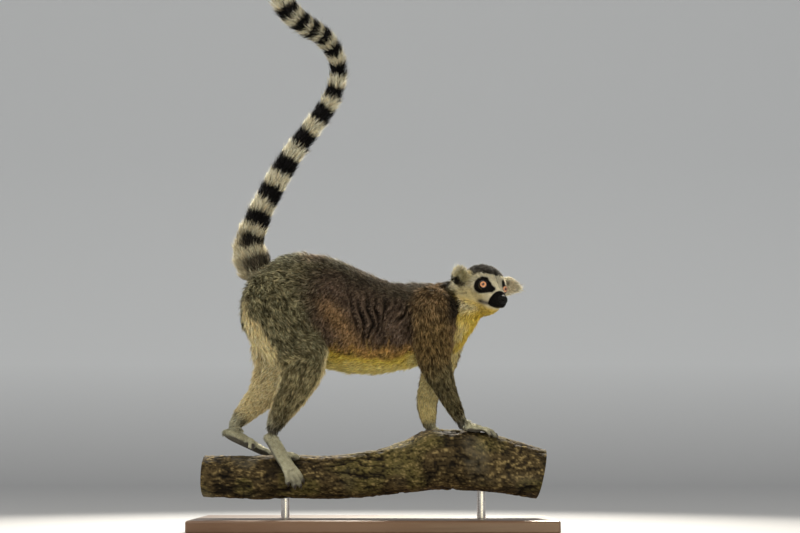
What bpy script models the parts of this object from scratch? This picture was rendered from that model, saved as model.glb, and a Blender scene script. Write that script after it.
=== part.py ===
"""Ring-tailed lemur, life size, walking along a cut length of branch that two short rods carry over a base.

The animal faces +X, its right side is towards -Y and up is +Z. The origin is the middle of the base's
underside. Sizes are in metres and reach the tips of the coat. Trunk, neck, head, limbs, digits, tail and
branch are lofts: an oval section carried along a smooth path. Eyes, nose and ears start as spheres. A part
that grows from another is let into it with a thin gap all round.
"""

import math

import bmesh
import bpy
import numpy as np
from mathutils import Matrix, Vector

# ---- driving sizes ----
GAP = 0.0003  # clearance between pieces that touch
LEFT, RIGHT = 1, -1  # sign of Y on each side of the body
UP = Vector((0, 0, 1))
ACROSS = Vector((0, 1, 0))

BASE_LENGTH, BASE_WIDTH, BASE_THICKNESS = 0.50, 0.24, 0.018
BASE_EDGE = 0.003  # rounding of the base's edges
ROD_RADIUS = 0.006
ROD_PLACES = {"stand_rod_rear": -0.125, "stand_rod_front": 0.150}  # X of each rod

HEAD_CENTRE = Vector((0.1560, -0.006, 0.3450))
HEAD_TURN, HEAD_DROP, HEAD_TILT = -60.0, 26.0, -7.0  # degrees: towards -Y, nose down, left ear down
EYE_CENTRE = Vector((0.0203, 0.0162, 0.0050))  # in the head's own frame, left side
EYE_RADIUS = 0.0085
EAR_ROOTS = {LEFT: Vector((-0.0125, 0.0275, 0.0010)), RIGHT: Vector((-0.0110, -0.0255, -0.0135))}
EAR_AXES = {LEFT: Vector((0.05, 0.92, 0.08)), RIGHT: Vector((0.15, -0.62, 0.72))}  # the right ear is raised
EAR_LENGTH, EAR_WIDTH, EAR_DEPTH = 0.039, 0.028, 0.016
NOSE_CENTRE, NOSE_SIZE = Vector((0.0525, 0.0, -0.0012)), (0.0062, 0.0072, 0.0058)

# Rows of the head: distance forward, top, underside, level of the widest point, half width.
HEAD_ROWS = (
    (-0.0290, 0.0160, -0.0195, 0.0000, 0.0205),
    (-0.0200, 0.0258, -0.0280, -0.0010, 0.0298),
    (-0.0080, 0.0300, -0.0340, -0.0025, 0.0340),
    (0.0040, 0.0300, -0.0368, -0.0040, 0.0342),
    (0.0140, 0.0266, -0.0360, -0.0050, 0.0308),
    (0.0215, 0.0218, -0.0330, -0.0060, 0.0234),
    (0.0280, 0.0165, -0.0290, -0.0065, 0.0170),
    (0.0360, 0.0118, -0.0240, -0.0070, 0.0140),
    (0.0440, 0.0082, -0.0195, -0.0070, 0.0126),
    (0.0505, 0.0050, -0.0155, -0.0065, 0.0104),
)

# Rows of the trunk, from rump to breast: X, Y, Z of the middle, half width, half height.
TRUNK_ROWS = (
    (-0.172, 0.002, 0.3235, 0.040, 0.0475),
    (-0.148, 0.002, 0.3170, 0.051, 0.0665),
    (-0.120, 0.001, 0.3155, 0.056, 0.0775),
    (-0.090, 0.000, 0.3125, 0.058, 0.0795),
    (-0.055, -0.001, 0.3015, 0.059, 0.0760),
    (-0.020, -0.001, 0.2900, 0.060, 0.0735),
    (0.020, -0.001, 0.2852, 0.057, 0.0662),
    (0.060, -0.001, 0.2910, 0.051, 0.0590),
    (0.095, -0.001, 0.2970, 0.045, 0.0550),
    (0.120, -0.002, 0.3025, 0.036, 0.0425),
)
NECK_ROWS = (
    (0.098, -0.001, 0.300, 0.041, 0.044),
    (0.122, -0.003, 0.3195, 0.036, 0.040),
    (0.138, -0.005, 0.331, 0.028, 0.032),
)

# Rows of each limb, from the top down: X, Y, Z, half thickness across the body, half width from the side.
RIGHT_HIND_ROWS = (
    (-0.150, -0.038, 0.350, 0.012, 0.026),
    (-0.142, -0.042, 0.312, 0.029, 0.048),
    (-0.121, -0.049, 0.276, 0.028, 0.046),
    (-0.098, -0.053, 0.243, 0.025, 0.038),
    (-0.104, -0.051, 0.208, 0.021, 0.0300),
    (-0.124, -0.045, 0.172, 0.016, 0.0220),
    (-0.142, -0.037, 0.140, 0.0125, 0.0145),
)
LEFT_HIND_ROWS = (
    (-0.150, 0.040, 0.350, 0.012, 0.026),
    (-0.142, 0.043, 0.311, 0.028, 0.045),
    (-0.137, 0.049, 0.272, 0.027, 0.041),
    (-0.134, 0.052, 0.237, 0.024, 0.033),
    (-0.151, 0.048, 0.203, 0.021, 0.026),
    (-0.179, 0.038, 0.173, 0.017, 0.020),
    (-0.202, 0.026, 0.147, 0.0125, 0.0135),
)
RIGHT_FORE_ROWS = (
    (0.074, -0.037, 0.331, 0.012, 0.022),
    (0.078, -0.042, 0.310, 0.024, 0.039),
    (0.080, -0.047, 0.270, 0.023, 0.031),
    (0.085, -0.048, 0.230, 0.020, 0.025),
    (0.099, -0.041, 0.197, 0.016, 0.018),
    (0.112, -0.031, 0.170, 0.013, 0.014),
    (0.124, -0.022, 0.148, 0.0098, 0.0102),
)
LEFT_FORE_ROWS = (
    (0.088, 0.037, 0.327, 0.012, 0.022),
    (0.096, 0.040, 0.306, 0.023, 0.037),
    (0.099, 0.044, 0.268, 0.022, 0.031),
    (0.090, 0.045, 0.226, 0.019, 0.025),
    (0.076, 0.040, 0.188, 0.016, 0.0185),
    (0.076, 0.033, 0.161, 0.013, 0.015),
    (0.080, 0.028, 0.141, 0.0098, 0.0105),
)
HIND_KNEE, FORE_ELBOW = 0.50, 0.50  # share of the limb's length above the cut

# Rows of the tail: X, Y, Z, half thickness. It rises, bends back over the rump and leans towards -Y.
TAIL_ROWS = (
    (-0.158, 0.001, 0.354, 0.0190),
    (-0.176, 0.002, 0.377, 0.0225),
    (-0.180, 0.003, 0.405, 0.0210),
    (-0.169, 0.004, 0.442, 0.0170),
    (-0.151, 0.004, 0.480, 0.0156),
    (-0.128, 0.003, 0.523, 0.0150),
    (-0.101, 0.001, 0.562, 0.0138),
    (-0.075, -0.002, 0.598, 0.0130),
    (-0.058, -0.008, 0.629, 0.0125),
    (-0.0535, -0.018, 0.659, 0.0120),
    (-0.060, -0.034, 0.682, 0.0125),
    (-0.077, -0.054, 0.698, 0.0135),
    (-0.098, -0.074, 0.707, 0.0145),
    (-0.1180, -0.090, 0.720, 0.0150),
    (-0.1300, -0.101, 0.740, 0.0150),
    (-0.1350, -0.107, 0.763, 0.0120),
)
TAIL_CUTS = (0.0, 0.24, 0.49, 0.74, 1.0)  # ends of the four lengths, as shares of the whole

# Rows of the branch: X, Y, Z, radius. It steps up to a swelling under the hands.
BRANCH_ROWS = (
    (-0.240, 0.004, 0.0760, 0.0290),
    (-0.170, 0.000, 0.0745, 0.0305),
    (-0.100, -0.002, 0.0745, 0.0305),
    (-0.030, 0.000, 0.0770, 0.0315),
    (0.035, 0.001, 0.0850, 0.0345),
    (0.082, 0.000, 0.0985, 0.0420),
    (0.130, 0.000, 0.0985, 0.0425),
    (0.180, 0.001, 0.0900, 0.0390),
    (0.235, 0.003, 0.0790, 0.0350),
)

# Each digit: distance forward of its root, towards the thumb, splay in degrees, length, radius.
HAND_DIGITS = (
    (0.0210, 0.0085, 16, 0.0190, 0.0036),
    (0.0235, 0.0030, 4, 0.0235, 0.0038),
    (0.0235, -0.0030, -7, 0.0235, 0.0038),
    (0.0210, -0.0085, -20, 0.0180, 0.0034),
    (0.0090, 0.0080, 58, 0.0180, 0.0038),
)
FOOT_DIGITS = (
    (0.0490, 0.0085, 10, 0.0190, 0.0040),
    (0.0515, 0.0030, 2, 0.0220, 0.0042),
    (0.0505, -0.0030, -7, 0.0210, 0.0041),
    (0.0470, -0.0085, -16, 0.0180, 0.0038),
    (0.0260, 0.0080, 62, 0.0270, 0.0054),
)
# Palm and sole: distance forward, height of the middle, half width, half thickness.
PALM_ROWS = ((-0.004, 0.001, 0.0080, 0.0065), (0.008, 0.000, 0.0095, 0.0062), (0.024, -0.001, 0.0110, 0.0050))
SOLE_ROWS = (
    (-0.012, 0.001, 0.0085, 0.0085),
    (0.004, 0.001, 0.0100, 0.0090),
    (0.026, 0.000, 0.0110, 0.0075),
    (0.051, -0.001, 0.0120, 0.0060),
)


# ---- scene and helpers ----
def clear_scene():
    """Removes every object of the open file."""
    for thing in list(bpy.data.objects):
        bpy.data.objects.remove(thing, do_unlink=True)


def new_collection(name):
    """A collection of that name in the scene."""
    made = bpy.data.collections.new(name)
    bpy.context.scene.collection.children.link(made)
    return made


def material(name, colour, roughness, metallic=0.0):
    """A Principled material of one colour."""
    made = bpy.data.materials.new(name)
    made.use_nodes = True
    shader = made.node_tree.nodes["Principled BSDF"]
    shader.inputs["Base Color"].default_value = (*colour, 1.0)
    shader.inputs["Roughness"].default_value = roughness
    shader.inputs["Metallic"].default_value = metallic
    return made


def placement(name, matrix):
    """An empty that carries the frame its children are modelled in."""
    made = bpy.data.objects.new(name, None)
    made.empty_display_size = 0.02
    made.matrix_world = matrix
    LEMUR.objects.link(made)
    return made


def add_object(name, mesh, finish, helper=False, parent=None, place=None):
    """Links a mesh as an object, in its parent's frame; a helper is hidden and drawn as wires."""
    mesh.materials.append(finish)
    made = bpy.data.objects.new(name, mesh)
    made.parent = parent
    if place is not None:
        made.matrix_local = place
    (CUTTERS if helper else LEMUR).objects.link(made)
    made.hide_render = helper
    if helper:
        made.display_type = "WIRE"
    return made


def spline(rows, shares):
    """Points of the Catmull-Rom curve through the rows, at these shares of its length in rows."""
    rows = np.array(rows, float)
    ends = np.vstack([2 * rows[0] - rows[1], rows, 2 * rows[-1] - rows[-2]])
    place = np.clip(np.asarray(shares, float), 0, 1) * (len(rows) - 1)
    first = np.minimum(place.astype(int), len(rows) - 2)
    t = (place - first)[:, None]
    a, b, c, d = (ends[first + k] for k in range(4))
    return 0.5 * (2 * b + (c - a) * t + (2 * a - 5 * b + 4 * c - d) * t**2 + (3 * b - a - 3 * c + d) * t**3)


def unit(vectors):
    """The vectors at length one."""
    return vectors / np.linalg.norm(vectors, axis=-1, keepdims=True)


def directions(rows, shares):
    """Unit directions of the curve at these shares."""
    return unit((spline(rows, shares + 1e-4) - spline(rows, shares - 1e-4))[:, :3])


def oval_rings(path, radii, sides, hint, shape=2.0, tangent=None):
    """Rings of an oval section carried along a path: first radius along the hint, second across it."""
    if tangent is None:
        tangent = unit(np.gradient(path, axis=0))
    hint = np.broadcast_to(np.array(hint, float), path.shape)
    first = unit(hint - (hint * tangent).sum(1, keepdims=True) * tangent)
    second = np.cross(tangent, first)
    turn = np.arange(sides) * 2 * math.pi / sides
    across = np.sign(np.cos(turn)) * np.abs(np.cos(turn)) ** (2 / shape)
    along = np.sign(np.sin(turn)) * np.abs(np.sin(turn)) ** (2 / shape)
    return (
        path[:, None, :]
        + first[:, None, :] * (radii[:, :1] * across)[:, :, None]
        + second[:, None, :] * (radii[:, 1:2] * along)[:, :, None]
    )


def domed(rings, depth, at_end, steps=2):
    """The rings with a rounded end added: the last ring shrinks over the depth as a quarter of an oval."""
    rings = rings if at_end else rings[::-1]
    middle = rings[-1].mean(0)
    outward = unit(middle - rings[-2].mean(0))
    turn = np.arange(1, steps + 1) / (steps + 0.35) * math.pi / 2
    inward = (rings[-1] - middle) * np.cos(turn)[:, None, None]
    extra = middle + inward + outward * (depth * np.sin(turn))[:, None, None]
    rings = np.concatenate([rings, extra])
    return rings if at_end else rings[::-1]


def closed_mesh(name, rings):
    """A closed mesh of triangles through the rings, with a flat face over each end."""
    count, sides = rings.shape[:2]
    index = np.arange(count * sides).reshape(count, sides)
    after = np.roll(index, -1, axis=1)
    quads = np.stack([index[:-1], after[:-1], after[1:], index[1:]], axis=-1).reshape(-1, 4)
    faces = [*quads.tolist(), index[0, ::-1].tolist(), index[-1].tolist()]
    mesh = bpy.data.meshes.new(name)
    mesh.from_pydata(rings.reshape(-1, 3).tolist(), [], faces)
    shape = bmesh.new()
    shape.from_mesh(mesh)
    bmesh.ops.recalc_face_normals(shape, faces=shape.faces)
    bmesh.ops.triangulate(shape, faces=shape.faces)
    shape.to_mesh(mesh)
    shape.free()
    mesh.shade_smooth()
    return mesh


def limb(name, rows, start, end, rings, sides, finish, tip=0.0, root=0.0, hint=ACROSS, shape=2.0):
    """One length of a limb, tail or trunk, between two shares of its rows, with rounded ends where asked.

    Where it meets the next length, both end in the same plane, half a gap to each side of it.
    """
    shares = np.linspace(start, end, rings)
    tangent = directions(rows, shares)
    made = spline(rows, shares)
    made[0, :3] += tangent[0] * (GAP / 2 if start > 0 else 0)
    made[-1, :3] -= tangent[-1] * (GAP / 2 if end < 1 else 0)
    radii = made[:, 3:5] if made.shape[1] > 4 else np.repeat(made[:, 3:4], 2, axis=1)
    section = oval_rings(made[:, :3], radii, sides, hint, shape, tangent)
    if root:
        section = domed(section, root, at_end=False)
    if tip:
        section = domed(section, tip, at_end=True)
    return add_object(name, closed_mesh(name, section), finish)


def grown(thing, by=GAP):
    """A hidden copy of an object's own mesh, swollen along its normals, to cut a socket with clearance."""
    mesh = thing.data.copy()
    shape = bmesh.new()
    shape.from_mesh(mesh)
    shape.normal_update()
    for vertex in shape.verts:
        vertex.co += vertex.normal * by
    shape.to_mesh(mesh)
    shape.free()
    mesh.materials.clear()
    name = thing.name + "_socket"
    return add_object(name, mesh, thing.active_material, True, thing.parent, thing.matrix_local)


def boolean(thing, other, operation):
    """Adds a Boolean modifier."""
    modifier = thing.modifiers.new(operation.lower() + "_" + other.name, "BOOLEAN")
    modifier.operation = operation
    modifier.object = other


def let_into(host, *guests):
    """Cuts a socket in the host for each guest."""
    for guest in guests:
        boolean(host, grown(guest), "DIFFERENCE")


# ---- the head ----
def head_placement():
    """The head's own frame: X to the nose, Y to its left."""
    turn = Matrix.Rotation(math.radians(HEAD_TURN), 4, "Z")
    drop = Matrix.Rotation(math.radians(HEAD_DROP), 4, "Y")
    tilt = Matrix.Rotation(math.radians(HEAD_TILT), 4, "X")
    return placement("head_placement", Matrix.Translation(HEAD_CENTRE) @ turn @ drop @ tilt)


def head_rings(count, sides):
    """Rings of the skull and muzzle: an oval whose upper and lower halves have their own heights."""
    forward, top, below, level, half = spline(HEAD_ROWS, np.linspace(0, 1, count)).T
    turn = np.arange(sides) * 2 * math.pi / sides
    rise = np.where(np.sin(turn) > 0, (top - level)[:, None], (level - below)[:, None]) * np.sin(turn)
    rings = np.zeros((count, sides, 3))
    rings[:, :, 0] = forward[:, None]
    rings[:, :, 1] = half[:, None] * np.cos(turn)
    rings[:, :, 2] = level[:, None] + rise
    return domed(domed(rings, 0.0075, at_end=False, steps=2), 0.0045, at_end=True, steps=2)


def make_head(frame):
    """Skull and muzzle, with a swelling round each eye."""
    rings = head_rings(13, 18)
    for side in (LEFT, RIGHT):
        eye = np.array(EYE_CENTRE) * (1, side, 1)
        away = rings - eye
        distance = np.linalg.norm(away, axis=-1, keepdims=True)
        rings = rings + away / distance * 0.0010 * np.exp(-(((distance - 0.013) / 0.005) ** 2))
    return add_object("head", closed_mesh("head", rings), WHITE_FUR, parent=frame)


def ellipsoid(name, size, place, finish, parent, helper=False, around=12, rings=7):
    """A sphere stretched to the size, then placed in its parent's frame."""
    mesh = bpy.data.meshes.new(name)
    shape = bmesh.new()
    bmesh.ops.create_uvsphere(shape, u_segments=around, v_segments=rings, radius=1.0)
    bmesh.ops.scale(shape, vec=size, verts=shape.verts)
    shape.to_mesh(mesh)
    shape.free()
    mesh.shade_smooth()
    return add_object(name, mesh, finish, helper, parent, place)


def make_eye(side, frame):
    """One eyeball, set in its socket."""
    name = "eye_left" if side == LEFT else "eye_right"
    place = Matrix.Translation(EYE_CENTRE * Vector((1, side, 1)))
    return ellipsoid(name, (EYE_RADIUS,) * 3, place, AMBER, frame)


def make_nose(frame):
    """The bare, rounded end of the muzzle."""
    return ellipsoid("nose", NOSE_SIZE, Matrix.Translation(NOSE_CENTRE), BLACK_SKIN, frame)


def make_ear(side, head_frame):
    """A leaf-shaped ear, hollow towards the front, that stands out from the side of the head."""
    name = "ear_left" if side == LEFT else "ear_right"
    long = EAR_AXES[side].normalized()
    front = (Vector((1, 0, 0)) - long * long.x).normalized()
    wide = long.cross(front)
    middle = EAR_ROOTS[side] + long * (EAR_LENGTH / 2)
    frame = Matrix((front, wide, long)).transposed().to_4x4()
    place = Matrix.Translation(middle) @ frame
    ear = ellipsoid(name, (EAR_DEPTH / 2, EAR_WIDTH / 2, EAR_LENGTH / 2), place, WHITE_FUR, head_frame)
    hollow_place = place @ Matrix.Translation((EAR_DEPTH * 0.50, 0, EAR_LENGTH * 0.07))
    hollow_size = (EAR_DEPTH * 0.62, EAR_WIDTH * 0.40, EAR_LENGTH * 0.40)
    hollow = ellipsoid(name + "_hollow", hollow_size, hollow_place, WHITE_FUR, head_frame, helper=True)
    boolean(ear, hollow, "DIFFERENCE")
    return ear


# ---- hands and feet ----
def paw_frame(place, forward, up):
    """A paw's own frame: X to the finger tips, Z out of its back."""
    forward = Vector(forward).normalized()
    across = Vector(up).cross(forward).normalized()
    frame = Matrix((forward, across, forward.cross(across))).transposed().to_4x4()
    return Matrix.Translation(place) @ frame


def digit_rings(root, splay, length, radius, curl):
    """A finger or toe: three joints that bend down by the curl, with a rounded pad."""
    bends = np.radians(np.linspace(-6, curl, 3))
    steps = length / 2.8 * np.stack([np.cos(bends), np.zeros(3), -np.sin(bends)], axis=1)
    inward = np.array([[-radius * 1.6, 0, 0]])
    path = np.vstack([inward, [[0, 0, 0]], np.cumsum(steps, axis=0)])
    turn = math.radians(splay)
    spin = np.array([[math.cos(turn), math.sin(turn), 0], [-math.sin(turn), math.cos(turn), 0], [0, 0, 1]])
    swell = np.array([1.0, 1.0, 0.92, 0.98, 0.98]) * radius
    rings = oval_rings(path @ spin + root, np.stack([swell, swell], axis=1), 6, (0.0, 0.0, 1.0))
    return domed(rings, radius * 0.9, at_end=True, steps=1)


def make_paw(name, side, rows, digits, finish, place, forward, up, curl, thumb_curl):
    """A palm or sole joined to five digits: the first four reach forward and the last opposes them."""
    made = spline(rows, np.linspace(0, 1, 5))
    path = np.stack([made[:, 0], np.zeros(5), made[:, 1]], axis=1)
    rings = domed(oval_rings(path, made[:, 2:4], 9, ACROSS), 0.003, at_end=True, steps=1)
    rings = domed(rings, 0.004, at_end=False, steps=1)
    paw = add_object(name, closed_mesh(name, rings), finish, place=paw_frame(place, forward, up))
    for number, (ahead, inward, splay, length, radius) in enumerate(digits):
        root = (ahead, -side * inward, made[-1, 1])
        bend = thumb_curl if number == 4 else curl
        finger = closed_mesh(name, digit_rings(root, -side * splay, length, radius, bend))
        boolean(paw, add_object(f"{name}_digit_{number}", finger, finish, True, paw), "UNION")
    return paw


# ---- perch and stand ----
def make_branch():
    """The cut length of branch: a tapering limb with a slow swelling and shallow ribs."""
    rings, sides = 14, 13
    made = spline(BRANCH_ROWS, np.linspace(0, 1, rings))
    section = oval_rings(made[:, :3], np.repeat(made[:, 3:4], 2, axis=1), sides, UP)
    middle = made[:, None, :3]
    turn = np.arange(sides) * 2 * math.pi / sides
    along = made[:, :1] * 40
    ribs = 1 + 0.022 * np.sin(3 * turn + along) + 0.016 * np.sin(5 * turn - 1.7 * along)
    section = middle + (section - middle) * ribs[:, :, None]
    return add_object("perch_branch", closed_mesh("perch_branch", section), BARK)


def make_base():
    """The flat board of the stand, with rounded edges."""
    bpy.ops.mesh.primitive_cube_add(size=1, location=(0, 0, BASE_THICKNESS / 2))
    board = bpy.context.object
    board.name = board.data.name = "stand_base"
    board.data.transform(Matrix.Diagonal((BASE_LENGTH, BASE_WIDTH, BASE_THICKNESS, 1)))
    for holder in list(board.users_collection):
        holder.objects.unlink(board)
    LEMUR.objects.link(board)
    board.data.materials.append(WALNUT)
    bevel = board.modifiers.new("rounded_edges", "BEVEL")
    bevel.width, bevel.segments = BASE_EDGE, 2
    return board


def make_rod(name, x, branch):
    """A short upright rod, from the board to the underside of the branch, which it fits."""
    low, high = BASE_THICKNESS + GAP, 0.075
    mesh = bpy.data.meshes.new(name)
    shape = bmesh.new()
    bmesh.ops.create_cone(
        shape, cap_ends=True, segments=20, radius1=ROD_RADIUS, radius2=ROD_RADIUS, depth=high - low,
        matrix=Matrix.Translation((x, 0, (low + high) / 2)),
    )
    shape.to_mesh(mesh)
    shape.free()
    mesh.shade_smooth()
    mesh.set_sharp_from_angle(angle=math.radians(40))
    rod = add_object(name, mesh, STEEL)
    boolean(rod, grown(branch), "DIFFERENCE")
    return rod


# ---- build ----
clear_scene()
LEMUR = new_collection("ring_tailed_lemur")
CUTTERS = new_collection("cutters")
CUTTERS.hide_render = True

GREY_FUR = material("grey_brown_fur", (0.23, 0.20, 0.16), 0.9)
WHITE_FUR = material("white_fur", (0.72, 0.68, 0.58), 0.9)
RINGED_FUR = material("ringed_fur", (0.30, 0.29, 0.26), 0.9)
BLACK_SKIN = material("black_skin", (0.02, 0.02, 0.022), 0.45)
GREY_SKIN = material("grey_skin", (0.20, 0.19, 0.17), 0.7)
AMBER = material("amber_eye", (0.65, 0.25, 0.06), 0.1)
BARK = material("bark", (0.10, 0.08, 0.06), 0.9)
WALNUT = material("walnut", (0.10, 0.05, 0.03), 0.4)
STEEL = material("brushed_steel", (0.55, 0.55, 0.56), 0.35, 1.0)

trunk = limb("trunk", TRUNK_ROWS, 0, 1, 12, 16, GREY_FUR, tip=0.014, root=0.018, shape=2.15)
neck = limb("neck", NECK_ROWS, 0, 1, 5, 16, WHITE_FUR, tip=0.008, root=0.010)
head_frame = head_placement()
head = make_head(head_frame)
nose = make_nose(head_frame)
eyes = [make_eye(side, head_frame) for side in (LEFT, RIGHT)]
ears = [make_ear(side, head_frame) for side in (LEFT, RIGHT)]

tail = []
for number, (start, end) in enumerate(zip(TAIL_CUTS[:-1], TAIL_CUTS[1:])):
    last = end == TAIL_CUTS[-1]
    length = limb(
        f"tail_{number + 1}", TAIL_ROWS, start, end, 7, 10, RINGED_FUR,
        tip=0.014 if last else 0.0, root=0.0 if number else 0.010,
    )
    tail.append(length)

upper, lower = {}, {}
for name, rows, cut, words in (
    ("hind_right", RIGHT_HIND_ROWS, HIND_KNEE, ("thigh", "shank")),
    ("hind_left", LEFT_HIND_ROWS, HIND_KNEE, ("thigh", "shank")),
    ("fore_right", RIGHT_FORE_ROWS, FORE_ELBOW, ("upper_arm", "forearm")),
    ("fore_left", LEFT_FORE_ROWS, FORE_ELBOW, ("upper_arm", "forearm")),
):
    where = name.split("_")[1]
    upper[name] = limb(f"{words[0]}_{where}", rows, 0, cut, 7, 14, GREY_FUR, root=0.012)
    lower[name] = limb(f"{words[1]}_{where}", rows, cut, 1, 7, 12, GREY_FUR, tip=0.004)

branch = make_branch()
hand_right = make_paw(
    "hand_right", RIGHT, PALM_ROWS, HAND_DIGITS, GREY_SKIN,
    place=(0.124, -0.021, 0.1445), forward=(0.97, 0.02, -0.10), up=UP, curl=40, thumb_curl=35,
)
hand_left = make_paw(
    "hand_left", LEFT, PALM_ROWS, HAND_DIGITS, GREY_SKIN,
    place=(0.082, 0.0275, 0.1355), forward=(0.80, 0.30, -0.40), up=(0.10, 0.45, 0.90), curl=35, thumb_curl=30,
)
foot_right = make_paw(
    "foot_right", RIGHT, SOLE_ROWS, FOOT_DIGITS, GREY_SKIN,
    place=(-0.143, -0.030, 0.1245), forward=(0.55, -0.22, -0.80), up=(0.55, -0.70, 0.45),
    curl=30, thumb_curl=50,
)
foot_left = make_paw(
    "foot_left", LEFT, SOLE_ROWS, FOOT_DIGITS, GREY_SKIN,
    place=(-0.204, 0.021, 0.1335), forward=(0.88, -0.05, -0.42), up=(0.35, 0.25, 0.90),
    curl=25, thumb_curl=45,
)
base = make_base()
rods = [make_rod(name, x, branch) for name, x in ROD_PLACES.items()]

let_into(trunk, *upper.values(), lower["hind_right"], tail[0])
let_into(trunk, head)
let_into(neck, *(upper[name] for name in ("fore_right", "fore_left")), trunk, head, ears[1])
let_into(head, nose, *eyes)
for ear in ears:
    let_into(ear, head)
for paw, arm in (
    (hand_right, lower["fore_right"]),
    (hand_left, lower["fore_left"]),
    (foot_right, lower["hind_right"]),
    (foot_left, lower["hind_left"]),
):
    let_into(paw, arm, branch)
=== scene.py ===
# %% [markdown]
# # A ring-tailed lemur, dressed
#
# This lesson dresses a finished solid model. The solids give the outline of the animal out to the tips
# of its coat. Here they are covered with what a visitor sees: one skin, a coat of small mesh tufts, glass
# eyes, bare palms, nails, bark, wood and steel. Every new piece is worked out from the solids, so it fits.

import math
from contextlib import contextmanager
from itertools import product

import bmesh
import bpy
import numpy as np
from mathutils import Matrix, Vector


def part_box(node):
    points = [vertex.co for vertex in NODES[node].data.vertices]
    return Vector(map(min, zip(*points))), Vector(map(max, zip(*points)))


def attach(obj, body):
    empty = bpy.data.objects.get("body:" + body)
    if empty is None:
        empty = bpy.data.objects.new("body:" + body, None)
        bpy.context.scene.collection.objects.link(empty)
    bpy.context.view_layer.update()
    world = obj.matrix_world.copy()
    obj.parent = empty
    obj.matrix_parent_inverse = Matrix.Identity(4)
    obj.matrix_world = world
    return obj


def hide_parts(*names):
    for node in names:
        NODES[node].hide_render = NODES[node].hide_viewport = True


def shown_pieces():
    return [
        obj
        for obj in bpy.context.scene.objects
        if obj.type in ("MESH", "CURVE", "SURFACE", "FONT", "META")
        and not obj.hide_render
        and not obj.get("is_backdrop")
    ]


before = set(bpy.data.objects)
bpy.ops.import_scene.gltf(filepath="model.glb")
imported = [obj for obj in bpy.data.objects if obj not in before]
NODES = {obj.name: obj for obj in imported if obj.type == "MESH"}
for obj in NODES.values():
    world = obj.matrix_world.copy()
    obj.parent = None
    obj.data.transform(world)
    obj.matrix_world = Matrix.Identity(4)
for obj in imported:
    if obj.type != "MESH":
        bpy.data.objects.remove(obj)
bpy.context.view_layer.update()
LEFT, RIGHT = 1, -1  # sign of Y on each side of the body
SIDES = ((LEFT, "left"), (RIGHT, "right"))

# %% [markdown]
# ## Camera, floor and light
#
# The camera comes first, because it decides how large everything is drawn. It stands low and looks up a
# little. The floor is a sweep: a flat sheet that curves up behind the object, so that no edge shows. Wide
# soft lamps light the near side, a low warm one reaches the belly, and a small strong one behind the
# animal puts a bright rim on its hair.

# %% Camera
TARGET = Vector((0.036, 0.0, 0.373))
DISTANCE, RISE = 2.3, math.radians(7)  # from the target, and how far the camera looks up
LENS, SENSOR = 72.4, 36  # millimetres


def aim(thing, target):
    """Turns a camera or a lamp to face a point."""
    thing.rotation_euler = (Vector(target) - thing.location).to_track_quat("-Z", "Y").to_euler()


def link(thing):
    """Puts an object in the scene."""
    bpy.context.scene.collection.objects.link(thing)
    return thing


camera = link(bpy.data.objects.new("camera", bpy.data.cameras.new("camera")))
camera.data.lens, camera.data.sensor_width = LENS, SENSOR
camera.location = TARGET - DISTANCE * Vector((0, math.cos(RISE), math.sin(RISE)))
aim(camera, TARGET)
bpy.context.scene.camera = camera
print("camera stands at", [round(v, 3) for v in camera.location])


# %% Surfaces from grids of points
def new_mesh(name, points, faces):
    """A smooth mesh object from an array of points and a list of faces."""
    mesh = bpy.data.meshes.new(name)
    mesh.from_pydata(np.asarray(points, float).tolist(), [], faces)
    mesh.validate()
    mesh.shade_smooth()
    return link(bpy.data.objects.new(name, mesh))


def grid_faces(rows, columns, around=False, start=0):
    """Quads between neighbouring points of a grid; around joins the last column to the first."""
    index = start + np.arange(rows * columns).reshape(rows, columns)
    after = np.roll(index, -1, axis=1) if around else index[:, 1:]
    here = index if around else index[:, :-1]
    return np.stack([here[:-1], after[:-1], after[1:], here[1:]], axis=-1).reshape(-1, 4).tolist()


@contextmanager
def edited(mesh):
    """Opens a mesh for the bmesh tools and writes it back."""
    shape = bmesh.new()
    shape.from_mesh(mesh)
    yield shape
    shape.to_mesh(mesh)
    shape.free()


def closed_surface(name, rings):
    """A closed mesh through rings whose first and last have shrunk to a point, so both poles close."""
    made = new_mesh(name, rings.reshape(-1, 3), grid_faces(*rings.shape[:2], around=True))
    with edited(made.data) as shape:
        bmesh.ops.remove_doubles(shape, verts=shape.verts, dist=1e-7)
        bmesh.ops.recalc_face_normals(shape, faces=shape.faces)
    made.data.shade_smooth()
    return made


def ways_round(rows, columns):
    """Unit directions over a whole ball: the first axis points at the pole, rows run from it to the far
    pole, and columns run round it."""
    polar = np.linspace(0, math.pi, rows)[:, None]
    turn = np.arange(columns)[None, :] * 2 * math.pi / columns
    flat = np.sin(polar)
    return np.stack(np.broadcast_arrays(np.cos(polar), flat * np.cos(turn), flat * np.sin(turn)), axis=-1)


# %% [markdown]
# ## Materials
#
# A Principled shader gives each finish its gloss. One effect is used by many of them, a fine grain: noise
# on Object coordinates, which gives both a mask and a bumped surface. It is a node group with named
# inputs, built once and placed in each material with its own values.

# %% Shader helpers
def principled(name, roughness, **values):
    """A material whose Principled shader has these values."""
    made = bpy.data.materials.new(name)
    made.use_nodes = True
    shader = made.node_tree.nodes["Principled BSDF"]
    shader.inputs["Roughness"].default_value = roughness
    for socket, value in values.items():
        shader.inputs[socket.replace("_", " ")].default_value = value
    return made, made.node_tree, shader


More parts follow.
